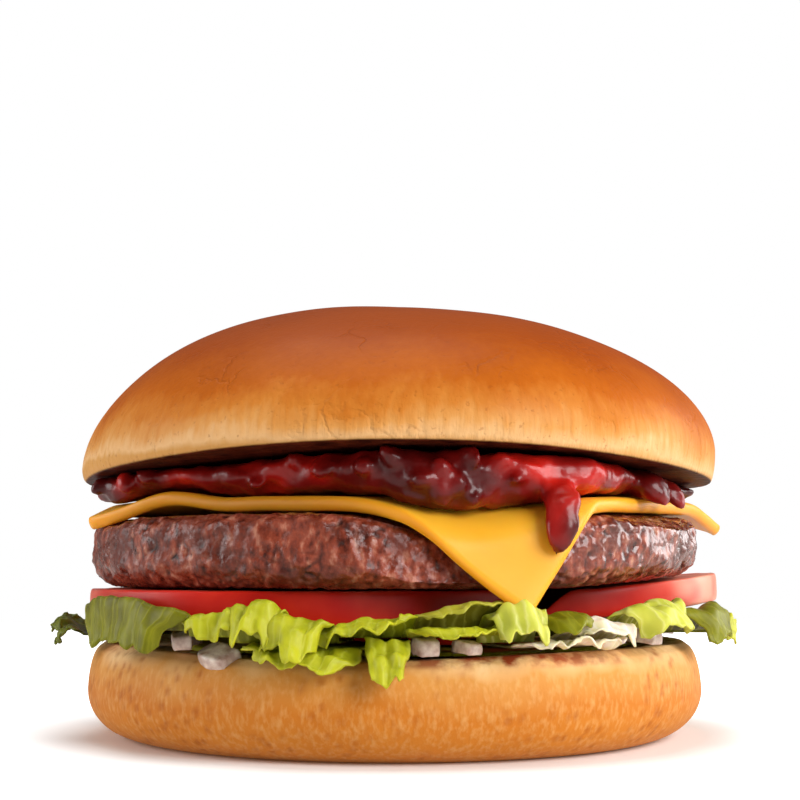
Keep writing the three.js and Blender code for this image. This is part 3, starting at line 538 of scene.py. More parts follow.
def leaf_points(leaf, across, along):
    """Points of a leaf's sheet and how deep in a fold each lies. Across runs from -1 to 1, and along
    from its root to its free edge."""
    own = leaf["at"] + 10 * leaf["layer"]
    still = 0 * along
    t = np.clip((along - LEVEL_SHARE) / (1 - LEVEL_SHARE), 0, 1)
    torn = 1 + 0.2 * perlin(t * 3.5, still + own, np.sign(across) * 2.5) - 0.3 * smooth(t, 0.6, 1)
    angle = leaf["at"] + leaf["spread"] * across * (1 + (torn - 1) * np.abs(across))
    start = np.maximum(LEAF_START, tomato_edge(angle) + 2 * GAP)
    level = LEAF_LEVEL + LEAF_LAYER * (leaf["layer"] - 1)
    turn = 2 * np.pi
    drift = 0.35 * perlin(across * 1.7, t * 1.6, still + own)
    wave = np.sin(turn * (across * leaf["waves"] / 2 + leaf["phase"] + drift))
    sway = np.cos(turn * (across * leaf["waves"] / 2 + leaf["phase"] * 1.7 + drift))
    small = np.sin(turn * (across * leaf["waves"] * 1.3 + leaf["phase"] * 3.1 + 2 * drift))
    teeth = perlin(angle / 2.4, still + own, still) + 0.6 * perlin(angle / 0.9, still + own, still + 5)
    end = start + 1 + (leaf["out"] - start - 1) * (1 - 0.3 * np.abs(across) ** 3)
    end = np.maximum(end, start + LEAST_REACH)
    knee_r = start + (end - start) * KNEE_SHARE
    arch = 1 - 0.25 * across**2
    knee_z = (leaf["knee"] + leaf["tilt"] * across) * arch + 0.5 * leaf["ruffle"] * wave
    torn_off = teeth * t**3
    edge_r = end + 0.6 * leaf["curl"] * sway + 0.5 * torn_off
    ruffled = leaf["ruffle"] * (0.8 * wave + 0.5 * small)
    edge_z = leaf["edge"] + leaf["lip"] * across + ruffled - 0.6 * torn_off
    a, b, c = (1 - t) ** 2, 2 * t * (1 - t), t**2
    rooted = LEAF_ROOT + (start - LEAF_ROOT) * along / LEVEL_SHARE
    r = np.where(along < LEVEL_SHARE, rooted, a * start + b * knee_r + c * edge_r)
    z = level + b * knee_z + c * edge_z
    loose = smooth(t, 0.05, 0.5)
    frill = smooth(t, 0.6, 1.0)
    r = r + frill * 0.9 * perlin(angle / 3, t * 4 + own, still + 1.5)
    z = z + frill * 0.8 * perlin(angle / 2.6, t * 4 + own, still + 7.5)
    x, y = r * cosine(angle), r * sine(angle)
    crease = 1 - 2.4 * np.abs(perlin(x / 4.6, y / 4.6, z / 4.6 + own))
    pucker = perlin(x / 2.1, y / 2.1, z / 2.1) + 0.4 * perlin(x, y, z)
    lift = CALM_LEAVES.get(leaf["kind"], 1.0) * loose * (0.65 * crease + 0.5 * pucker)
    x, y = x + 0.3 * lift * cosine(angle), y + 0.3 * lift * sine(angle)
    return np.stack([x, y, z + lift], -1), crease + 0.7 * pucker


def leaf_sheet(leaf, wide, long):
    """Points and faces of a leaf's single sheet, its faces up, and the values painted on it."""
    across, along = np.meshgrid(np.linspace(-1, 1, wide + 1), np.linspace(0, 1, long + 1))
    across, along = across.ravel(), along.ravel()
    points, ridge = leaf_points(leaf, across, along)
    faces = []
    for j in range(long):
        for i in range(wide):
            a = j * (wide + 1) + i
            faces.append((a, a + wide + 1, a + wide + 2, a + 1))
    valley = 1 - smooth(ridge, -0.6, 0.7)
    return points, faces, {"along": along, "around": leaf["spread"] * across, "valley": valley}


def crisp_leaf(name, edge, body, fold, rib):
    """Lettuce leaf: thin, crisp and waxy, so that light shines through it and its ridges gleam. The colours
    are those of its frilled edge, its body, the painted shade in its folds and near its root, and its ribs."""
    glow = {"Subsurface_Weight": 0.3, "Subsurface_Radius": (0.9, 1.2, 0.3), "Subsurface_Scale": MM}
    material, tree, shader, place = finish_of(name, Roughness=0.42, Specular_IOR_Level=0.2, **glow)
    along = painted_value(tree, "along")
    fan = add(tree, "ShaderNodeCombineXYZ", {"X": painted_value(tree, "around"), "Y": along}).outputs[0]
    bent = {0: noise_at(tree, place, 3, 2.0, "Color"), 1: (2.2, 0.5, 0), 2: fan}
    fan = add(tree, "ShaderNodeVectorMath", bent, operation="MULTIPLY_ADD").outputs[0]
    cell = {"Vector": fan, "Scale": 0.4, "Randomness": 1.0}
    veins = add(tree, "ShaderNodeTexVoronoi", cell, feature="DISTANCE_TO_EDGE").outputs["Distance"]
    patches = maths(tree, "MULTIPLY_ADD", noise_at(tree, place, 3.5, 4.0), 0.9, -0.45)
    # Painted shade: the leaf darkens to the fold colour towards its root, under the filling.
    colour = ramp(tree, maths(tree, "ADD", along, patches), (0.3, fold), (1.0, edge), (0.72, body))
    vein = spanned(tree, veins, 0.0, 0.1, 0.4, 0.0)
    # Painted shade: the valleys of the folds are darkened towards the fold colour.
    deep = maths(tree, "MULTIPLY", painted_value(tree, "valley"), 0.45)
    tree.links.new(mixed(tree, vein, mixed(tree, deep, colour, fold), rib), shader.inputs["Base Color"])
    roughen(tree, shader, maths(tree, "MULTIPLY_ADD", noise_at(tree, place, 1.0, 2.0), 0.6, vein), 0.5, 0.2)
    return material


# Colours of each kind: frilled edge, body, painted shade of folds and root, rib.
leaf_kinds = {
    "frill": crisp_leaf("crisp_lettuce_frill", "#bcbc24", "#a6a818", "#74780e", "#cccf50"),
    "leafy": crisp_leaf("green_lettuce_blade", "#7e7e0c", "#6e6c08", "#444204", "#9c9a22"),
    "blade": crisp_leaf("smooth_lettuce_blade", "#b4b034", "#9c9428", "#746c1c", "#c4c05c"),
    "outer": crisp_leaf("dark_outer_lettuce", "#686e10", "#555b08", "#283002", "#7e8424"),
    "pale": crisp_leaf("pale_lettuce_heart", "#ced052", "#c6ca48", "#7c8420", "#e4e494"),
    "rib": crisp_leaf("pale_lettuce_rib", "#f2e8bc", "#fae8d4", "#ccc084", "#fff8ec"),
}
for i, row in enumerate(LEAVES):
    leaf = dict(zip(LEAF_VALUES, row))
    points, faces, painted = leaf_sheet(leaf, int(leaf["spread"] * CELLS_A_DEGREE), CELLS_ALONG)
    sheet = piece_of(f"lettuce_{i + 1}", points, faces, leaf_kinds[leaf["kind"]])
    for name, values in painted.items():
        paint(sheet, name, values)
    thick = sheet.modifiers.new("thickness", "SOLIDIFY")
    thick.thickness = LEAF_THICKNESS * MM
    thick.offset = 0
    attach(sheet, "root")
    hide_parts(f"lettuce_leaf_{i + 1}")


def bed_place(r, angle, z):
    ragged = r * (1 + 0.03 * cosine(5 * angle) + 0.025 * cosine(11 * angle + 60))
    ragged = ragged + 0.5 * smooth(r, 30, BED_RADIUS) * perlin(angle / 3, angle * 0, angle * 0)
    lift = 0.12 * perlin(r * cosine(angle) / 6, r * sine(angle) / 6, 0 * r)
    return ragged, angle, HEEL_HEIGHT + GAP + 0.35 + z + lift


bed_corners = [(0, -BED_HALF), (BED_RADIUS, -BED_HALF), (BED_RADIUS, BED_HALF), (0, BED_HALF)]
bed_profile = [bed_corners[0], *line(bed_corners, 20, 2, 20)]
bed = piece_of("lettuce_under_filling", *turned(bed_profile, BED_SEGMENTS, bed_place), leaf_kinds["frill"])
x, y, z = points_of(bed)
# Painted from the bed's middle outwards, so the lettuce material's painted shade darkens it inwards.
paint(bed, "along", np.hypot(x, y) / BED_RADIUS)
paint(bed, "around", bearing(x, y))
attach(bed, "root")
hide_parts("lettuce_bed")

# Tomato slices
# Two slices of a ripe beef tomato. Glossy red skin runs round each edge, and the cut faces are
# wet flesh. The left slice lies flat, and the right one flops up past its edge.
TOMATO_THICKNESS = 5.1
TOMATO_BOTTOM = HEEL_HEIGHT + SALAD_HEIGHT
RIGHT_DIP = 15.7
RIGHT_DIP_THICKNESS = 3.2
RIGHT_THICKNESS = 4.6
TOMATO_EDGE = 0.8
TOMATO_SEGMENTS = 240


def tomato_disc(radius):
    """A slice about its own middle, its level running from -0.5 below to 0.5 above."""
    flat = radius - TOMATO_EDGE
    turns = range(-84, 90, 12)
    skin = [(flat + TOMATO_EDGE * cosine(a) ** 0.4, 0.5 * np.sign(a) * abs(sine(a)) ** 0.5) for a in turns]
    profile = [(0, -0.5), *line([(0, -0.5), (flat, -0.5)], 24), *skin, *line([(flat, 0.5), (0, 0.5)], 24)]

    def uneven(r, angle, level):
        return r * (1 + TOMATO_UNEVEN * cosine(3 * angle + 50)), angle, level

    return turned(profile, TOMATO_SEGMENTS, uneven)


def right_slice_bed(x, y):
    """Lowest height and thickness of the right slice at a place."""
    from_left = np.hypot(x - LEFT_TOMATO["x"], y - LEFT_TOMATO["y"])
    up = smooth(from_left, LEFT_TOMATO["radius"] + 2, LEFT_TOMATO["radius"] + 10)
    low = RIGHT_DIP + (TOMATO_BOTTOM + 0.6 - RIGHT_DIP) * up + np.maximum(0, x - 31) * 0.1
    return low, RIGHT_DIP_THICKNESS + (RIGHT_THICKNESS - RIGHT_DIP_THICKNESS) * up


def ripe_tomato():
    """Ripe tomato: thin glossy skin round the edge, and paler wet flesh on the cut faces. Salmon streaks
    towards each end of the slices are a painted highlight.
    """
    body = {"Subsurface_Weight": 0.2, "Subsurface_Radius": (2.4, 0.5, 0.2), "Subsurface_Scale": MM}
    material, tree, shader, place = finish_of("ripe_tomato", Roughness=0.38, Specular_IOR_Level=0.22, **body)
    flecks = noise_at(tree, place, 5.0, 4.0)
    skin = ramp(tree, flecks, (0.3, "#c41408"), (0.75, "#d22a14"))
    flesh = ramp(tree, flecks, (0.3, "#c02a18"), (0.7, "#e2725a"))
    red = mixed(tree, painted_value(tree, "skin"), flesh, skin)
    # Painted highlight: where "pale" is painted the colour goes towards salmon.
    tree.links.new(mixed(tree, painted_value(tree, "pale"), red, "#ee9a80"), shader.inputs["Base Color"])
    roughen(tree, shader, noise_at(tree, place, 1.6, 3.0), 0.12, 0.2)
    return material


tomato_flesh = ripe_tomato()
for side_name, slice_ in (("left", LEFT_TOMATO), ("right", RIGHT_TOMATO)):
    points, faces = tomato_disc(slice_["radius"])
    x, y, level = points.T
    skin = smooth(np.hypot(x, y), slice_["radius"] - 1.0, slice_["radius"] - 0.4)
    x, y = x + slice_["x"], y + slice_["y"]
    low, thickness = (TOMATO_BOTTOM, TOMATO_THICKNESS) if side_name == "left" else right_slice_bed(x, y)
    points = np.stack([x, y, low + (level + 0.5) * thickness], -1)
    tomato = piece_of(f"tomato_{side_name}", points, faces, tomato_flesh)
    x, y, z = points_of(tomato)
    swell(tomato, 0.12 * perlin(x / 7, y / 7, z / 7))
    paint(tomato, "skin", skin)
    # Painted highlight: salmon streaks towards the right end, fainter at the left end.
    highlight_streaks = smooth(perlin(x / 6, y / 6, z / 3), -1.0, 0.4)
    paint(tomato, "pale", highlight_streaks * np.maximum(smooth(x, 37, 50), 0.6 * smooth(-x, 40, 51)))
    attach(tomato, "root")
    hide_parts(f"tomato_slice_{side_name}")

# Cheese
# One square slice of processed cheddar, softened by the heat of the patty. One corner hangs down
# in front, the left edge waves, and its surface is smooth and satin with a little sweat of fat.
PATTY_THICKNESS = 11.2
PATTY_BOTTOM = TOMATO_BOTTOM + TOMATO_THICKNESS + GAP
PATTY_TOP = PATTY_BOTTOM + PATTY_THICKNESS
CHEESE_SIDE = 81.4
CHEESE_THICKNESS = 2.2
CHEESE_MIDDLE = PATTY_TOP + GAP + CHEESE_THICKNESS / 2
CHEESE_CENTRE = (4.4, -3.9)
CHEESE_TURN = 16
CORNER_ROUND = 0.25
CHEESE_EDGE = 0.7
CHEESE_CELLS = 130
CHEESE_SAG = 4.0
PATTY_RISE = 1.9
LIFT_ON_TOP = 0.45
FOLDS = [
    # direction, distance from the axis, radius of the bend and the angle it hangs at
    (-79, 46.4, 4.0, 80),
    (-29, 43.5, 8.0, 26),
    (8, 48.0, 14.0, 20),
    (103, 46.0, 10.0, 24),
    (214, 44.5, 8.0, 22),
]


def patty_lift(x):
    return PATTY_RISE * smooth(x, 20, 52)


def cheese_wave(r, angle):
    up = 1.3 * bell(angle, 218, 9) + 0.2 * bell(angle, 240, 7)
    return smooth(r, 30, 44) * up - CHEESE_SAG * smooth(r, 38, 50) * bell(angle, 282, 15)


def bend_past(fold, reach):
    """How far a fold leans, pulls in and lowers what lies at this reach in its direction."""
    _, start, radius, hang = fold
    past = np.maximum(0, reach - start)
    steepest = math.radians(hang)
    lean = np.minimum(past / radius, steepest)
    straight = np.maximum(0, past - radius * steepest)
    pulled = past - radius * np.sin(lean) - straight * math.cos(steepest)
    return lean, pulled, radius * (1 - np.cos(lean)) + straight * math.sin(steepest)


def drape(x, y):
    """Where points of the flat slice end up, and the upward normals there."""
    middle = np.stack([x, y, 0 * x], -1)
    up = np.zeros_like(middle)
    up[..., 2] = 1
    for fold in FOLDS:
        out = np.array([cosine(fold[0]), sine(fold[0]), 0])
        lean, pulled, down = bend_past(fold, out[0] * x + out[1] * y)
        middle = middle - pulled[..., None] * out
        middle[..., 2] -= down
        up = up + np.tan(lean)[..., None] * out
    middle[..., 2] += CHEESE_MIDDLE + LIFT_ON_TOP * patty_lift(middle[..., 0])
    middle[..., 2] += cheese_wave(np.hypot(x, y), bearing(x, y))
    return middle, up / np.linalg.norm(up, axis=-1, keepdims=True)


def softened_cheddar():
    """Processed cheddar: smooth, fatty and a little clear, with a satin sheen and deeper edges."""
    body = {"Subsurface_Weight": 0.25, "Subsurface_Radius": (2.6, 1.2, 0.2), "Subsurface_Scale": MM}
    material, tree, shader, place = finish_of("softened_cheddar", Roughness=0.4, IOR=1.4, **body)
    face = ramp(tree, noise_at(tree, place, 14, 2.0), (0.3, "#f3ac22"), (0.7, "#f6b934"))
    tree.links.new(mixed(tree, painted_value(tree, "rim"), face, "#ffa820"), shader.inputs["Base Color"])
    roughen(tree, shader, noise_at(tree, place, 3.5, 3.0), 0.1, 0.3)
    return material


flat, faces = slab(CHEESE_SIDE, CHEESE_SIDE, CHEESE_THICKNESS, CHEESE_EDGE, CHEESE_CELLS, CHEESE_CELLS)
rim = 1 - smooth(CHEESE_SIDE / 2 - np.abs(flat[:, :2]).max(1), 0.05, 0.9)
corner = np.maximum(np.abs(flat[:, :2]) - CHEESE_SIDE / 2 + 3 * CORNER_ROUND, 0)
reach = np.linalg.norm(corner, axis=1)
rounding = np.minimum(1, corner.max(1) / np.maximum(reach, 1e-6))[:, None]
flat[:, :2] -= np.sign(flat[:, :2]) * corner * (1 - rounding)
turn = CHEESE_TURN + 45
x = flat[:, 0] * cosine(turn) - flat[:, 1] * sine(turn) + CHEESE_CENTRE[0]
y = flat[:, 0] * sine(turn) + flat[:, 1] * cosine(turn) + CHEESE_CENTRE[1]
middle, up = drape(x, y)
draped = middle + up * flat[:, 2:]
cheese = piece_of("cheddar_slice", draped, faces, softened_cheddar())
x, y, z = points_of(cheese)
swell(cheese, 0.1 * perlin(x / 8, y / 8, z / 8))
paint(cheese, "rim", rim)
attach(cheese, "root")
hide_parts("cheese_slice")

# Beef patty
# Coarse minced beef pressed into a disc and fried: strands and grains of pinkish brown meat with painted
# shade in the crevices between them, a browner crust above, and juice that glistens on the right.
PATTY_RADIUS = 51.6
PATTY_CLEAR = 1.6
PATTY_LOW_ROUND = 4.4
PATTY_HIGH_ROUND = 2.8
PATTY_CENTRE = 46.0
GRAIN_SIZE = 2.6
DRY_UP_TO_X = 12.0
WET_FROM_X = 34.0
PATTY_SEGMENTS = 820


def flap_inside(height):
    """Reach of the lower face of the cheese's hanging corner, where it has come down to a height."""
    inside = np.full(np.shape(height), np.inf)
    for reach in np.arange(FOLDS[0][1], 60, 0.25)[::-1]:
        lean, pulled, down = bend_past(FOLDS[0], reach)
        face = CHEESE_MIDDLE - down - CHEESE_THICKNESS / 2 * np.cos(lean)
        inside = np.where(face < height, reach - pulled - CHEESE_THICKNESS / 2 * np.sin(lean), inside)
    return inside


def cheese_lift(x, y):
    return LIFT_ON_TOP * patty_lift(x) + cheese_wave(np.hypot(x, y), bearing(x, y))


def cheese_under(x, y):
    """Height just below the slice, the corner that hangs in front left out."""
    down = 0.0
    for fold in FOLDS[1:]:
        down = down + bend_past(fold, cosine(fold[0]) * x + sine(fold[0]) * y)[2]
    return CHEESE_MIDDLE + cheese_lift(x, y) - down - 0.55 * CHEESE_THICKNESS - GAP


def patty_place(r, angle, z):
    x, y = r * cosine(angle), r * sine(angle)
    edge = smooth(r, PATTY_CENTRE - 4, PATTY_CENTRE + 3)
    crag = perlin(x / 5.5, y / 5.5, z / 4.5) + 0.6 * perlin(x / 2.7, y / 2.7, z / 2.7 + 7)
    top = smooth(z, PATTY_BOTTOM, PATTY_TOP)
    sag = top * (0.3 * edge * np.abs(crag) + 0.15 * (r / PATTY_CENTRE) ** 6)
    height = np.minimum(z + patty_lift(x) * (1 - (1 - LIFT_ON_TOP) * top) - sag, cheese_under(x, y))
    uneven = 0.5 * bell(angle, 185, 30) - 0.5 * bell(angle, -10, 30) - 1.2 * bell(angle, FOLDS[0][0], 24)
    free = r * (PATTY_RADIUS + uneven) / PATTY_RADIUS + edge * 0.55 * crag
    towards = np.maximum(cosine(angle - FOLDS[0][0]), 0.3)
    reach = flap_inside(height - cheese_lift(x, y)) - PATTY_CLEAR
    side = np.where(r > PATTY_CENTRE - 6, reach / towards, np.inf)
    return np.minimum(free, side), angle, height


def fried_mince():
    """Fried beef mince: rough and browned, each grain a slightly other brown, with painted shade in the
    crevices. A thin film of juice gives small sharp glints, and on the right the meat is wet all over."""
    film = {"Specular_IOR_Level": 0.3, "Coat_Roughness": 0.14}
    material, tree, shader, place = finish_of("fried_beef_mince", **film)
    upright = add(tree, "ShaderNodeMapping", {"Vector": place, "Scale": (1, 1, 0.55)}).outputs[0]
    browns = [(0.32, "#40160c"), (0.76, "#c88a70"), (0.43, "#76301e"), (0.56, "#94442e")]
    meat = ramp(tree, noise_at(tree, upright, 1.3, 5.0), *browns)
    seared = spanned(tree, noise_at(tree, place, 7, 4.0), 0.48, 0.62, 0.0, 0.85)
    brown = mixed(tree, seared, meat, "#5a2011")
    # Painted shade: crevices and sunken strands darken to near black brown.
    tree.links.new(mixed(tree, painted_value(tree, "crevice"), brown, "#2a0f0a"), shader.inputs["Base Color"])
    wet = spanned(tree, noise_at(tree, place, 3.4, 3.0), 0.4, 0.62, 0.55, 0.2)
    tree.links.new(wet, shader.inputs["Roughness"])
    right = add(tree, "ShaderNodeSeparateXYZ", {0: place}).outputs["X"]
    juicy = spanned(tree, right, DRY_UP_TO_X * MM, WET_FROM_X * MM, 0.16, 1.0)
    tree.links.new(juicy, shader.inputs["Coat Weight"])
    roughen(tree, shader, noise_at(tree, place, 0.8, 4.0), 0.7, 0.35)
    return material


low_r, low_z = PATTY_RADIUS - PATTY_LOW_ROUND, PATTY_BOTTOM + PATTY_LOW_ROUND
high_r, high_z = PATTY_RADIUS - PATTY_HIGH_ROUND, PATTY_TOP - PATTY_HIGH_ROUND
patty_profile = [
    (0, PATTY_BOTTOM),
    *line([(0, PATTY_BOTTOM), (low_r - 0.4, PATTY_BOTTOM)], 16),
    *arc(low_r, low_z, PATTY_LOW_ROUND, PATTY_LOW_ROUND, -88, 0, 28),
    *line([(PATTY_RADIUS, low_z), (PATTY_RADIUS, high_z)], 16),
    *arc(high_r, high_z, PATTY_HIGH_ROUND, PATTY_HIGH_ROUND, 4, 88, 18),
    *line([(high_r - 0.4, PATTY_TOP), (0, PATTY_TOP)], 20),
]
patty = piece_of("fried_patty", *turned(patty_profile, PATTY_SEGMENTS, patty_place), fried_mince())
x, y, z = points_of(patty)
near, second = cells(x / GRAIN_SIZE, y / GRAIN_SIZE, z / (GRAIN_SIZE * 1.4))
crevice = (1 - smooth(second - near, 0.0, 0.16)) * smooth(perlin(x / 4, y / 4, z / 4 + 9), 0.0, 0.4)
strands = perlin(x / 1.5, y / 1.5, z / 2.1 + 3) + 0.8 * perlin(x / 0.8, y / 0.8, z / 0.95)
rough = 0.12 * smooth(0.75 - near, 0, 0.7) - 0.25 * crevice + 0.26 * strands
out_here = smooth(np.hypot(x, y), PATTY_CENTRE - 6, PATTY_CENTRE)
swell(patty, (rough - 0.15) * out_here)
# The crevice values paint shade into the gaps and sunken strands.
paint(patty, "crevice", np.clip(0.6 * crevice + 0.8 * smooth(-strands, 0.3, 1.0), 0, 1))
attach(patty, "root")
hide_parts("beef_patty")

# Relish
# Sweet red relish of chopped onion and pepper boiled down in syrup: a thick layer of soft lumps
# under one glossy skin, dark red and half clear. It runs over the cheese in a few round drips.
RELISH_HEIGHT = 9.5
RELISH_RADIUS = 50.8
RELISH_INSET = 0.9
RELISH_GAP = GAP + 0.2
RELISH_OVER_FOLD = 1.2
RELISH_SKIN = 0.5
RELISH_SEGMENTS = 260
LUMP_ROWS = (19, 27)
LUMPS_UP_TO_X = 24.0
LUMPS_A_SQUARE_METRE = 60000.0
LUMP_RADIUS = 2.1
LUMP_SPACING = 2.4
FULL_TURN = 6.28
CROWN_CUT = 43.8
CROWN_CUT_RADIUS = 53.2
DRIPS = [
    # where it starts and ends on the flat slice, and its half width
    ((23.6, -37.5), (22.9, -51.2), 2.2),
    ((34.6, -23.8), (41.6, -28.4), 2.9),
    ((37.1, -19.7), (45.2, -24.0), 2.3),
    ((-7.3, 41.4), (-8.7, 49.2), 2.6),
]


def cut_face(r, angle):
    """Height of the crown's cut face."""
    edge = CROWN_CUT - 1.8 * cosine(2 * angle)
    share = np.minimum(1, r / CROWN_CUT_RADIUS) ** 2
    return CROWN_CUT + 0.9 + (edge - CROWN_CUT - 0.9) * share


def cheese_edge(angle):
    """Distance from the axis to the edge of the flat cheese slice."""
    reach = np.full(np.shape(angle), np.inf)
    for side in (0, 90, 180, 270):
        normal = side + CHEESE_TURN + 45
        towards = cosine(angle - normal)
        offset = CHEESE_CENTRE[0] * cosine(normal) + CHEESE_CENTRE[1] * sine(normal)
        distance = (CHEESE_SIDE / 2 + offset) / np.maximum(towards, 1e-6)
        reach = np.minimum(reach, np.where(towards > 1e-6, distance, np.inf))
    return reach


def relish_edge(angle):
    over_fold = (FOLDS[0][1] + RELISH_OVER_FOLD) / np.maximum(cosine(angle - FOLDS[0][0]), 0.3)
    reach = np.minimum(np.minimum(cheese_edge(angle) - RELISH_INSET, over_fold), RELISH_RADIUS)
    return reach - 2.6 * bell(angle, -16, 14)


def relish_place(share, angle, level):
    r = share * relish_edge(angle)
    x, y = r * cosine(angle), r * sine(angle)
    lump = perlin(x / 4.2, y / 4.2, level * 1.3) * smooth(share, 0.7, 1) * (level > 0.1)
    middle, up = drape(x, y)
    low = middle[:, 2] + CHEESE_THICKNESS / 2 / np.maximum(up[:, 2], 0.5) + RELISH_GAP
    high = np.minimum(cut_face(r, angle) - RELISH_GAP, low + RELISH_HEIGHT + lump * 0.9)
    high = np.maximum(high, low + 0.8)
    around = bearing(middle[:, 0], middle[:, 1])
    bulge = 1.7 * smooth(level, 0.05, 0.5) * smooth(share, 0.75, 1)
    return np.hypot(middle[:, 0], middle[:, 1]) + lump * 0.9 + bulge, around, low + (high - low) * level


def drip(start, end, width):
    """Points and faces of a drip that runs out over the draped cheese and ends in a round drop."""
    steps, sides = 30, 20
    t, k = np.meshgrid(np.linspace(0, 1, steps + 1), np.arange(sides), indexing="ij")
    swelling = width * (0.86 + 0.3 * np.sin(t * np.pi * 0.9)) * np.sqrt(np.maximum(0.03, 1 - t**7))
    turn = k / sides * 360
    way = np.subtract(end, start) / np.linalg.norm(np.subtract(end, start))
    aside = swelling * sine(turn)
    x = start[0] + (end[0] - start[0]) * t - way[1] * aside
    y = start[1] + (end[1] - start[1]) * t + way[0] * aside
    middle, up = drape(x, y)
    out = CHEESE_THICKNESS / 2 + RELISH_GAP + 0.62 * swelling * (1 + cosine(turn))
    points = (middle + up * out[..., None]).reshape(-1, 3)
    faces = [tuple(range(sides))[::-1], tuple(range(steps * sides, (steps + 1) * sides))]
    for i in range(steps):
        for a in range(sides):
            b = (a + 1) % sides
            faces.append((i * sides + a, i * sides + b, (i + 1) * sides + b, (i + 1) * sides + a))
    return points, faces


def lumps_tree(material):
    """Scatters soft lumps over the marked faces of a mesh and joins them to it. Its inputs are the
    number of lumps in each square metre and the radius of the largest."""
    tree = bpy.data.node_groups.new("relish_lumps", "GeometryNodeTree")
    tree.interface.new_socket("Geometry", in_out="INPUT", socket_type="NodeSocketGeometry")
    density = tree.interface.new_socket("Lumps per area", in_out="INPUT", socket_type="NodeSocketFloat")
    radius = tree.interface.new_socket("Lump radius", in_out="INPUT", socket_type="NodeSocketFloat")
    tree.interface.new_socket("Geometry", in_out="OUTPUT", socket_type="NodeSocketGeometry")
    given = add(tree, "NodeGroupInput")
    marked = add(tree, "GeometryNodeInputNamedAttribute", {"Name": "lumpy"}, data_type="FLOAT").outputs[0]
    spots = {"Mesh": given.outputs[0], "Density Max": given.outputs[1], "Density Factor": marked}
    spots |= {"Distance Min": LUMP_SPACING * MM, "Seed": 7}
    spread = add(tree, "GeometryNodeDistributePointsOnFaces", spots, distribute_method="POISSON")
    ball = add(tree, "GeometryNodeMeshIcoSphere", {"Radius": given.outputs[2], "Subdivisions": 3})
    sizes = {0: (0.6, 0.6, 0.4), 1: (1.3, 1.2, 0.75), "Seed": 11}
    turns = {0: (0, 0, 0), 1: (FULL_TURN, FULL_TURN, FULL_TURN), "Seed": 13}
    shape, way = [
        add(tree, "FunctionNodeRandomValue", drawn, data_type="FLOAT_VECTOR").outputs[0]
        for drawn in (sizes, turns)
    ]
    each = {"Points": spread.outputs["Points"], "Instance": ball.outputs["Mesh"]}
    lumps = add(tree, "GeometryNodeInstanceOnPoints", each | {"Rotation": way, "Scale": shape})
    joined = add(tree, "GeometryNodeJoinGeometry", {0: given.outputs[0]})
    tree.links.new(lumps.outputs[0], joined.inputs[0])
    plain = add(tree, "GeometryNodeRealizeInstances", {0: joined.outputs[0]})
    coated = add(tree, "GeometryNodeSetMaterial", {0: plain.outputs[0], "Material": material})
    add(tree, "NodeGroupOutput", {0: coated.outputs[0]})
    return tree, density.identifier, radius.identifier


def make_plain(piece):
    """Turns what a piece's modifiers make into its plain mesh."""
    graph = bpy.context.evaluated_depsgraph_get()
    made = bpy.data.meshes.new_from_object(piece.evaluated_get(graph))
    piece.modifiers.clear()
    piece.data = made


def syrupy_relish():
    """Sweet relish: lumps held in dark red syrup, so it is half clear and shines like wet glass."""
    body = {"Subsurface_Weight": 0.12, "Subsurface_Radius": (1.6, 0.1, 0.1), "Subsurface_Scale": MM}
    shine = {"Roughness": 0.32, "Specular_IOR_Level": 0.3, "Coat_Weight": 0.12}
    material, tree, shader, place = finish_of("syrupy_relish", **shine, **body)
    bits = add(tree, "ShaderNodeTexVoronoi", {"Vector": place, "Scale": 1 / (5.5 * MM)}, feature="SMOOTH_F1")
    shade = add(tree, "ShaderNodeSeparateColor", {0: bits.outputs["Color"]}).outputs[0]
    reds = [(0.1, "#4e0706"), (0.95, "#cc1e12"), (0.6, "#90120e")]
    tree.links.new(ramp(tree, shade, *reds), shader.inputs["Base Color"])
    roughen(tree, shader, noise_at(tree, place, 2.2, 2.0), 0.35, 0.5)
    return material


relish_corners = [(0, 0), (0.96, 0), (1, 0.15), (1, 0.75), (0.97, 0.97), (0.8, 1), (0, 1)]
relish_profile = [relish_corners[0], *line(relish_corners, 14, 5, 6, 5, 4, 12)]
relish_red = syrupy_relish()
relish_points, relish_faces = turned(relish_profile, RELISH_SEGMENTS, relish_place)
lumpy = np.zeros(len(relish_points))
lumpy[1 + LUMP_ROWS[0] * RELISH_SEGMENTS : 1 + LUMP_ROWS[1] * RELISH_SEGMENTS] = 1.0
lumpy *= relish_points[:, 0] < LUMPS_UP_TO_X
for row in DRIPS:
    points, faces = drip(*row)
    relish_faces += [tuple(i + len(relish_points) for i in face) for face in faces]
    relish_points = np.concatenate([relish_points, points])
lumpy = np.concatenate([lumpy, np.zeros(len(relish_points) - len(lumpy))])
relish = piece_of("red_relish", relish_points, relish_faces, relish_red)
paint(relish, "lumpy", lumpy)
tree, density, radius = lumps_tree(relish_red)
scatter = relish.modifiers.new("lumps", "NODES")
scatter.node_group = tree
scatter[density] = LUMPS_A_SQUARE_METRE
scatter[radius] = LUMP_RADIUS * MM
skin = relish.modifiers.new("skin", "REMESH")
skin.mode = "VOXEL"
skin.voxel_size = RELISH_SKIN * MM
skin.use_smooth_shade = True
soft = relish.modifiers.new("soft", "SMOOTH")
soft.factor = 0.6
soft.iterations = 3
make_plain(relish)
x, y, z = points_of(relish)
swell(relish, 0.5 * perlin(x / 3.4, y / 3.4, z / 2.8) + 0.15 * perlin(x / 1.3, y / 1.3, z / 1.3))
x, y, z = points_of(relish)
under_crown = cut_face(np.hypot(x, y), bearing(x, y)) - GAP
pressed = np.stack([x, y, np.minimum(z, under_crown)], -1)
relish.data.vertices.foreach_set("co", (pressed * MM).ravel())
relish.data.update()
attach(relish, "root")
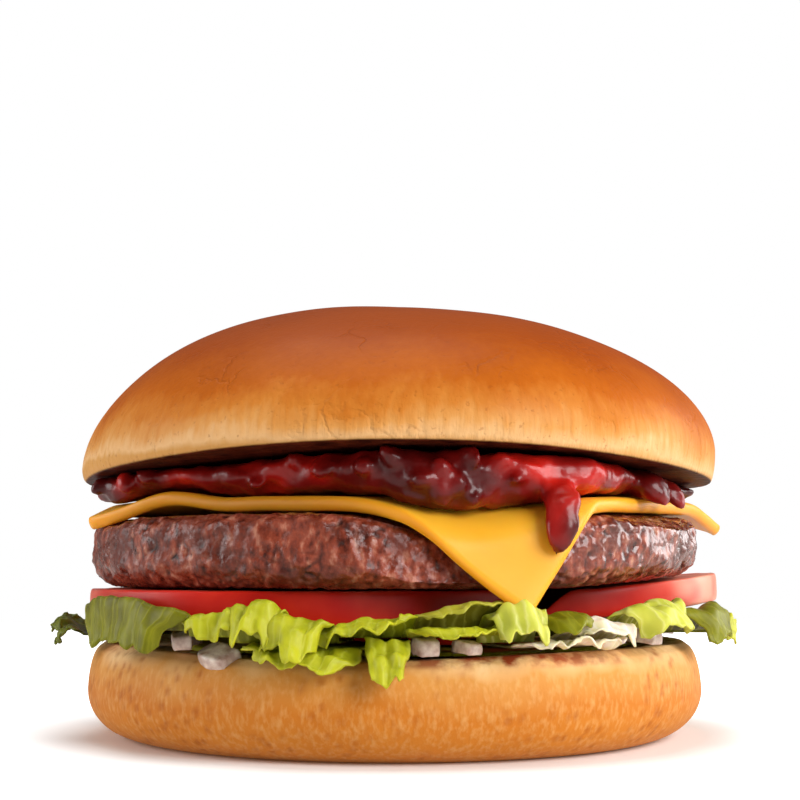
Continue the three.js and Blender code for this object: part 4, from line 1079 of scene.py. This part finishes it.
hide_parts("relish")

# Bun crown
# The upper half of the bun: a high dome glazed and baked red brown on top, paling down its side
# to a soft cream band that stayed clear of the heat. Its skin has fine upright wrinkles and pores.
CROWN_RADIUS = 54.3
CROWN_EQUATOR = 46.8
BURGER_HEIGHT = 72.1
CROWN_SEGMENTS = 420


def crown_place(r, angle, z):
    low = cut_face(r, angle)
    middle = CROWN_EQUATOR + 1.7 * cosine(angle) - 0.9 * cosine(2 * angle)
    below = (z - CROWN_CUT) / (CROWN_EQUATOR - CROWN_CUT)
    above = np.maximum(0, (z - CROWN_EQUATOR) / (BURGER_HEIGHT - CROWN_EQUATOR))
    full = 1.3 * np.sin(np.pi * above**2.5) * np.maximum(0, -cosine(angle))
    upper = middle + (BURGER_HEIGHT - middle) * above + full
    height = np.where(above > 0, upper, low + below * (middle - low))
    outline = 1 + 0.004 * cosine(2 * angle + 30) + 0.003 * cosine(5 * angle)
    lump = 0.45 * perlin(r * cosine(angle) / 22, r * sine(angle) / 22, z / 22) * smooth(r, 2, 8)
    shoulder = 1 - 0.012 * np.sin(np.pi * above)
    return r * outline * shoulder + lump, angle, height + lump * above


def glazed_crown_crust():
    """Glazed wheat crust: a thin brown skin, satin from its egg wash, cream near the cut, with a painted
    lighter tone on its left side. Wrinkles stand upright round the side, and the top has tiny pores, darkened
    as painted shade. The cut crumb is painted near black red as shade under the crown."""
    shine = {"Specular_IOR_Level": 0.05, "Coat_Weight": 0.06, "Coat_Roughness": 0.28}
    material, tree, shader, place = finish_of("glazed_crown_crust", Roughness=0.5, **shine)
    share = painted_value(tree, "rise")
    upright = add(tree, "ShaderNodeMapping", {"Vector": place, "Scale": (1, 1, 0.16)}).outputs[0]
    wrinkles = noise_at(tree, upright, 1.3, 3.0)
    broad = noise_at(tree, place, 13, 3.0)
    shift = maths(tree, "MULTIPLY_ADD", broad, 0.3, -0.15)
    moved = maths(tree, "ADD", shift, maths(tree, "MULTIPLY_ADD", wrinkles, 0.14, -0.07))
    level = maths(tree, "MULTIPLY_ADD", moved, spanned(tree, share, 0.0, 0.12), share)
    # Painted light: the crown's left side is made paler, by up to 0.07 of the ramp.
    left = add(tree, "ShaderNodeSeparateXYZ", {0: place}).outputs["X"]
    level = maths(tree, "ADD", level, spanned(tree, left, -16 * MM, -52 * MM, 0.0, -0.07))
    low_browns = [(0.0, "#d49c58"), (1.0, "#863602"), (0.03, "#e4b47c"), (0.1, "#d4944e")]
    high_browns = [(0.19, "#c6782c"), (0.32, "#b25a0e"), (0.6, "#984202")]
    baked = ramp(tree, level, *low_browns, *high_browns)
    pore_pits = noise_at(tree, place, 0.9, 2.0)
    # Painted shade: the pores are darkened towards #8a4314.
    colour = mixed(tree, spanned(tree, pore_pits, 0.64, 0.74, 0.0, 0.35), baked, "#8a4314")
    # Painted shade: the cut crumb under the crown is near black red.
    crumb = ramp(tree, noise_at(tree, place, 3.0, 4.0), (0.35, "#2a0a06"), (0.7, "#5c2412"))
    tree.links.new(mixed(tree, painted_value(tree, "sliced"), colour, crumb), shader.inputs["Base Color"])
    shrunk = add(tree, "ShaderNodeMapping", {"Vector": place, "Scale": (1, 1, 0.6)}).outputs[0]
    bent = {0: noise_at(tree, place, 4, 3.0, "Color"), 1: (6 * MM, 6 * MM, 6 * MM), 2: shrunk}
    swerve = add(tree, "ShaderNodeVectorMath", bent, operation="MULTIPLY_ADD").outputs[0]
    cell = {"Vector": swerve, "Scale": 1 / (9 * MM)}
    seams = add(tree, "ShaderNodeTexVoronoi", cell, feature="DISTANCE_TO_EDGE").outputs["Distance"]
    few = spanned(tree, broad, 0.46, 0.6)
    cracks = maths(tree, "MULTIPLY", spanned(tree, seams, 0.0, 0.05, 1.0, 0.0), few)
    folds = maths(tree, "MULTIPLY", wrinkles, spanned(tree, share, 0.5, 0.05))
    pores = maths(tree, "MULTIPLY_ADD", pore_pits, -0.25, folds)
    roughen(tree, shader, maths(tree, "MULTIPLY_ADD", cracks, -0.35, pores), 0.8, 0.45)
    return material


lip = CROWN_RADIUS - CROWN_CUT_RADIUS
crown_profile = [
    (0, CROWN_CUT),
    *line([(0, CROWN_CUT), (CROWN_CUT_RADIUS * 0.85, CROWN_CUT), (CROWN_CUT_RADIUS, CROWN_CUT)], 14, 6),
    *arc(CROWN_CUT_RADIUS, CROWN_EQUATOR, lip, CROWN_EQUATOR - CROWN_CUT, -84, 0, 16),
    *arc(0, CROWN_EQUATOR, CROWN_RADIUS, BURGER_HEIGHT - CROWN_EQUATOR, 1.5, 90, 90),
]
crown = piece_of("crown_of_bun", *turned(crown_profile, CROWN_SEGMENTS, crown_place), glazed_crown_crust())
x, y, z = points_of(crown)
r, angle = np.hypot(x, y), bearing(x, y)
cut = cut_face(r, angle)
cut_edge = cut_face(CROWN_CUT_RADIUS + 0 * r, angle)
paint(crown, "rise", np.clip((z - cut_edge) / (BURGER_HEIGHT - CROWN_CUT), 0, 1))
# The cut face under the crown, which its material darkens as painted shade.
paint(crown, "sliced", 1 - smooth(z - cut, 0.05, 0.35))
swell(crown, 0.05 * perlin(x / 1.6, y / 1.6, z / 7) * (1 - smooth(z, 50, 60)))
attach(crown, "root")
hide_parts("bun_crown")
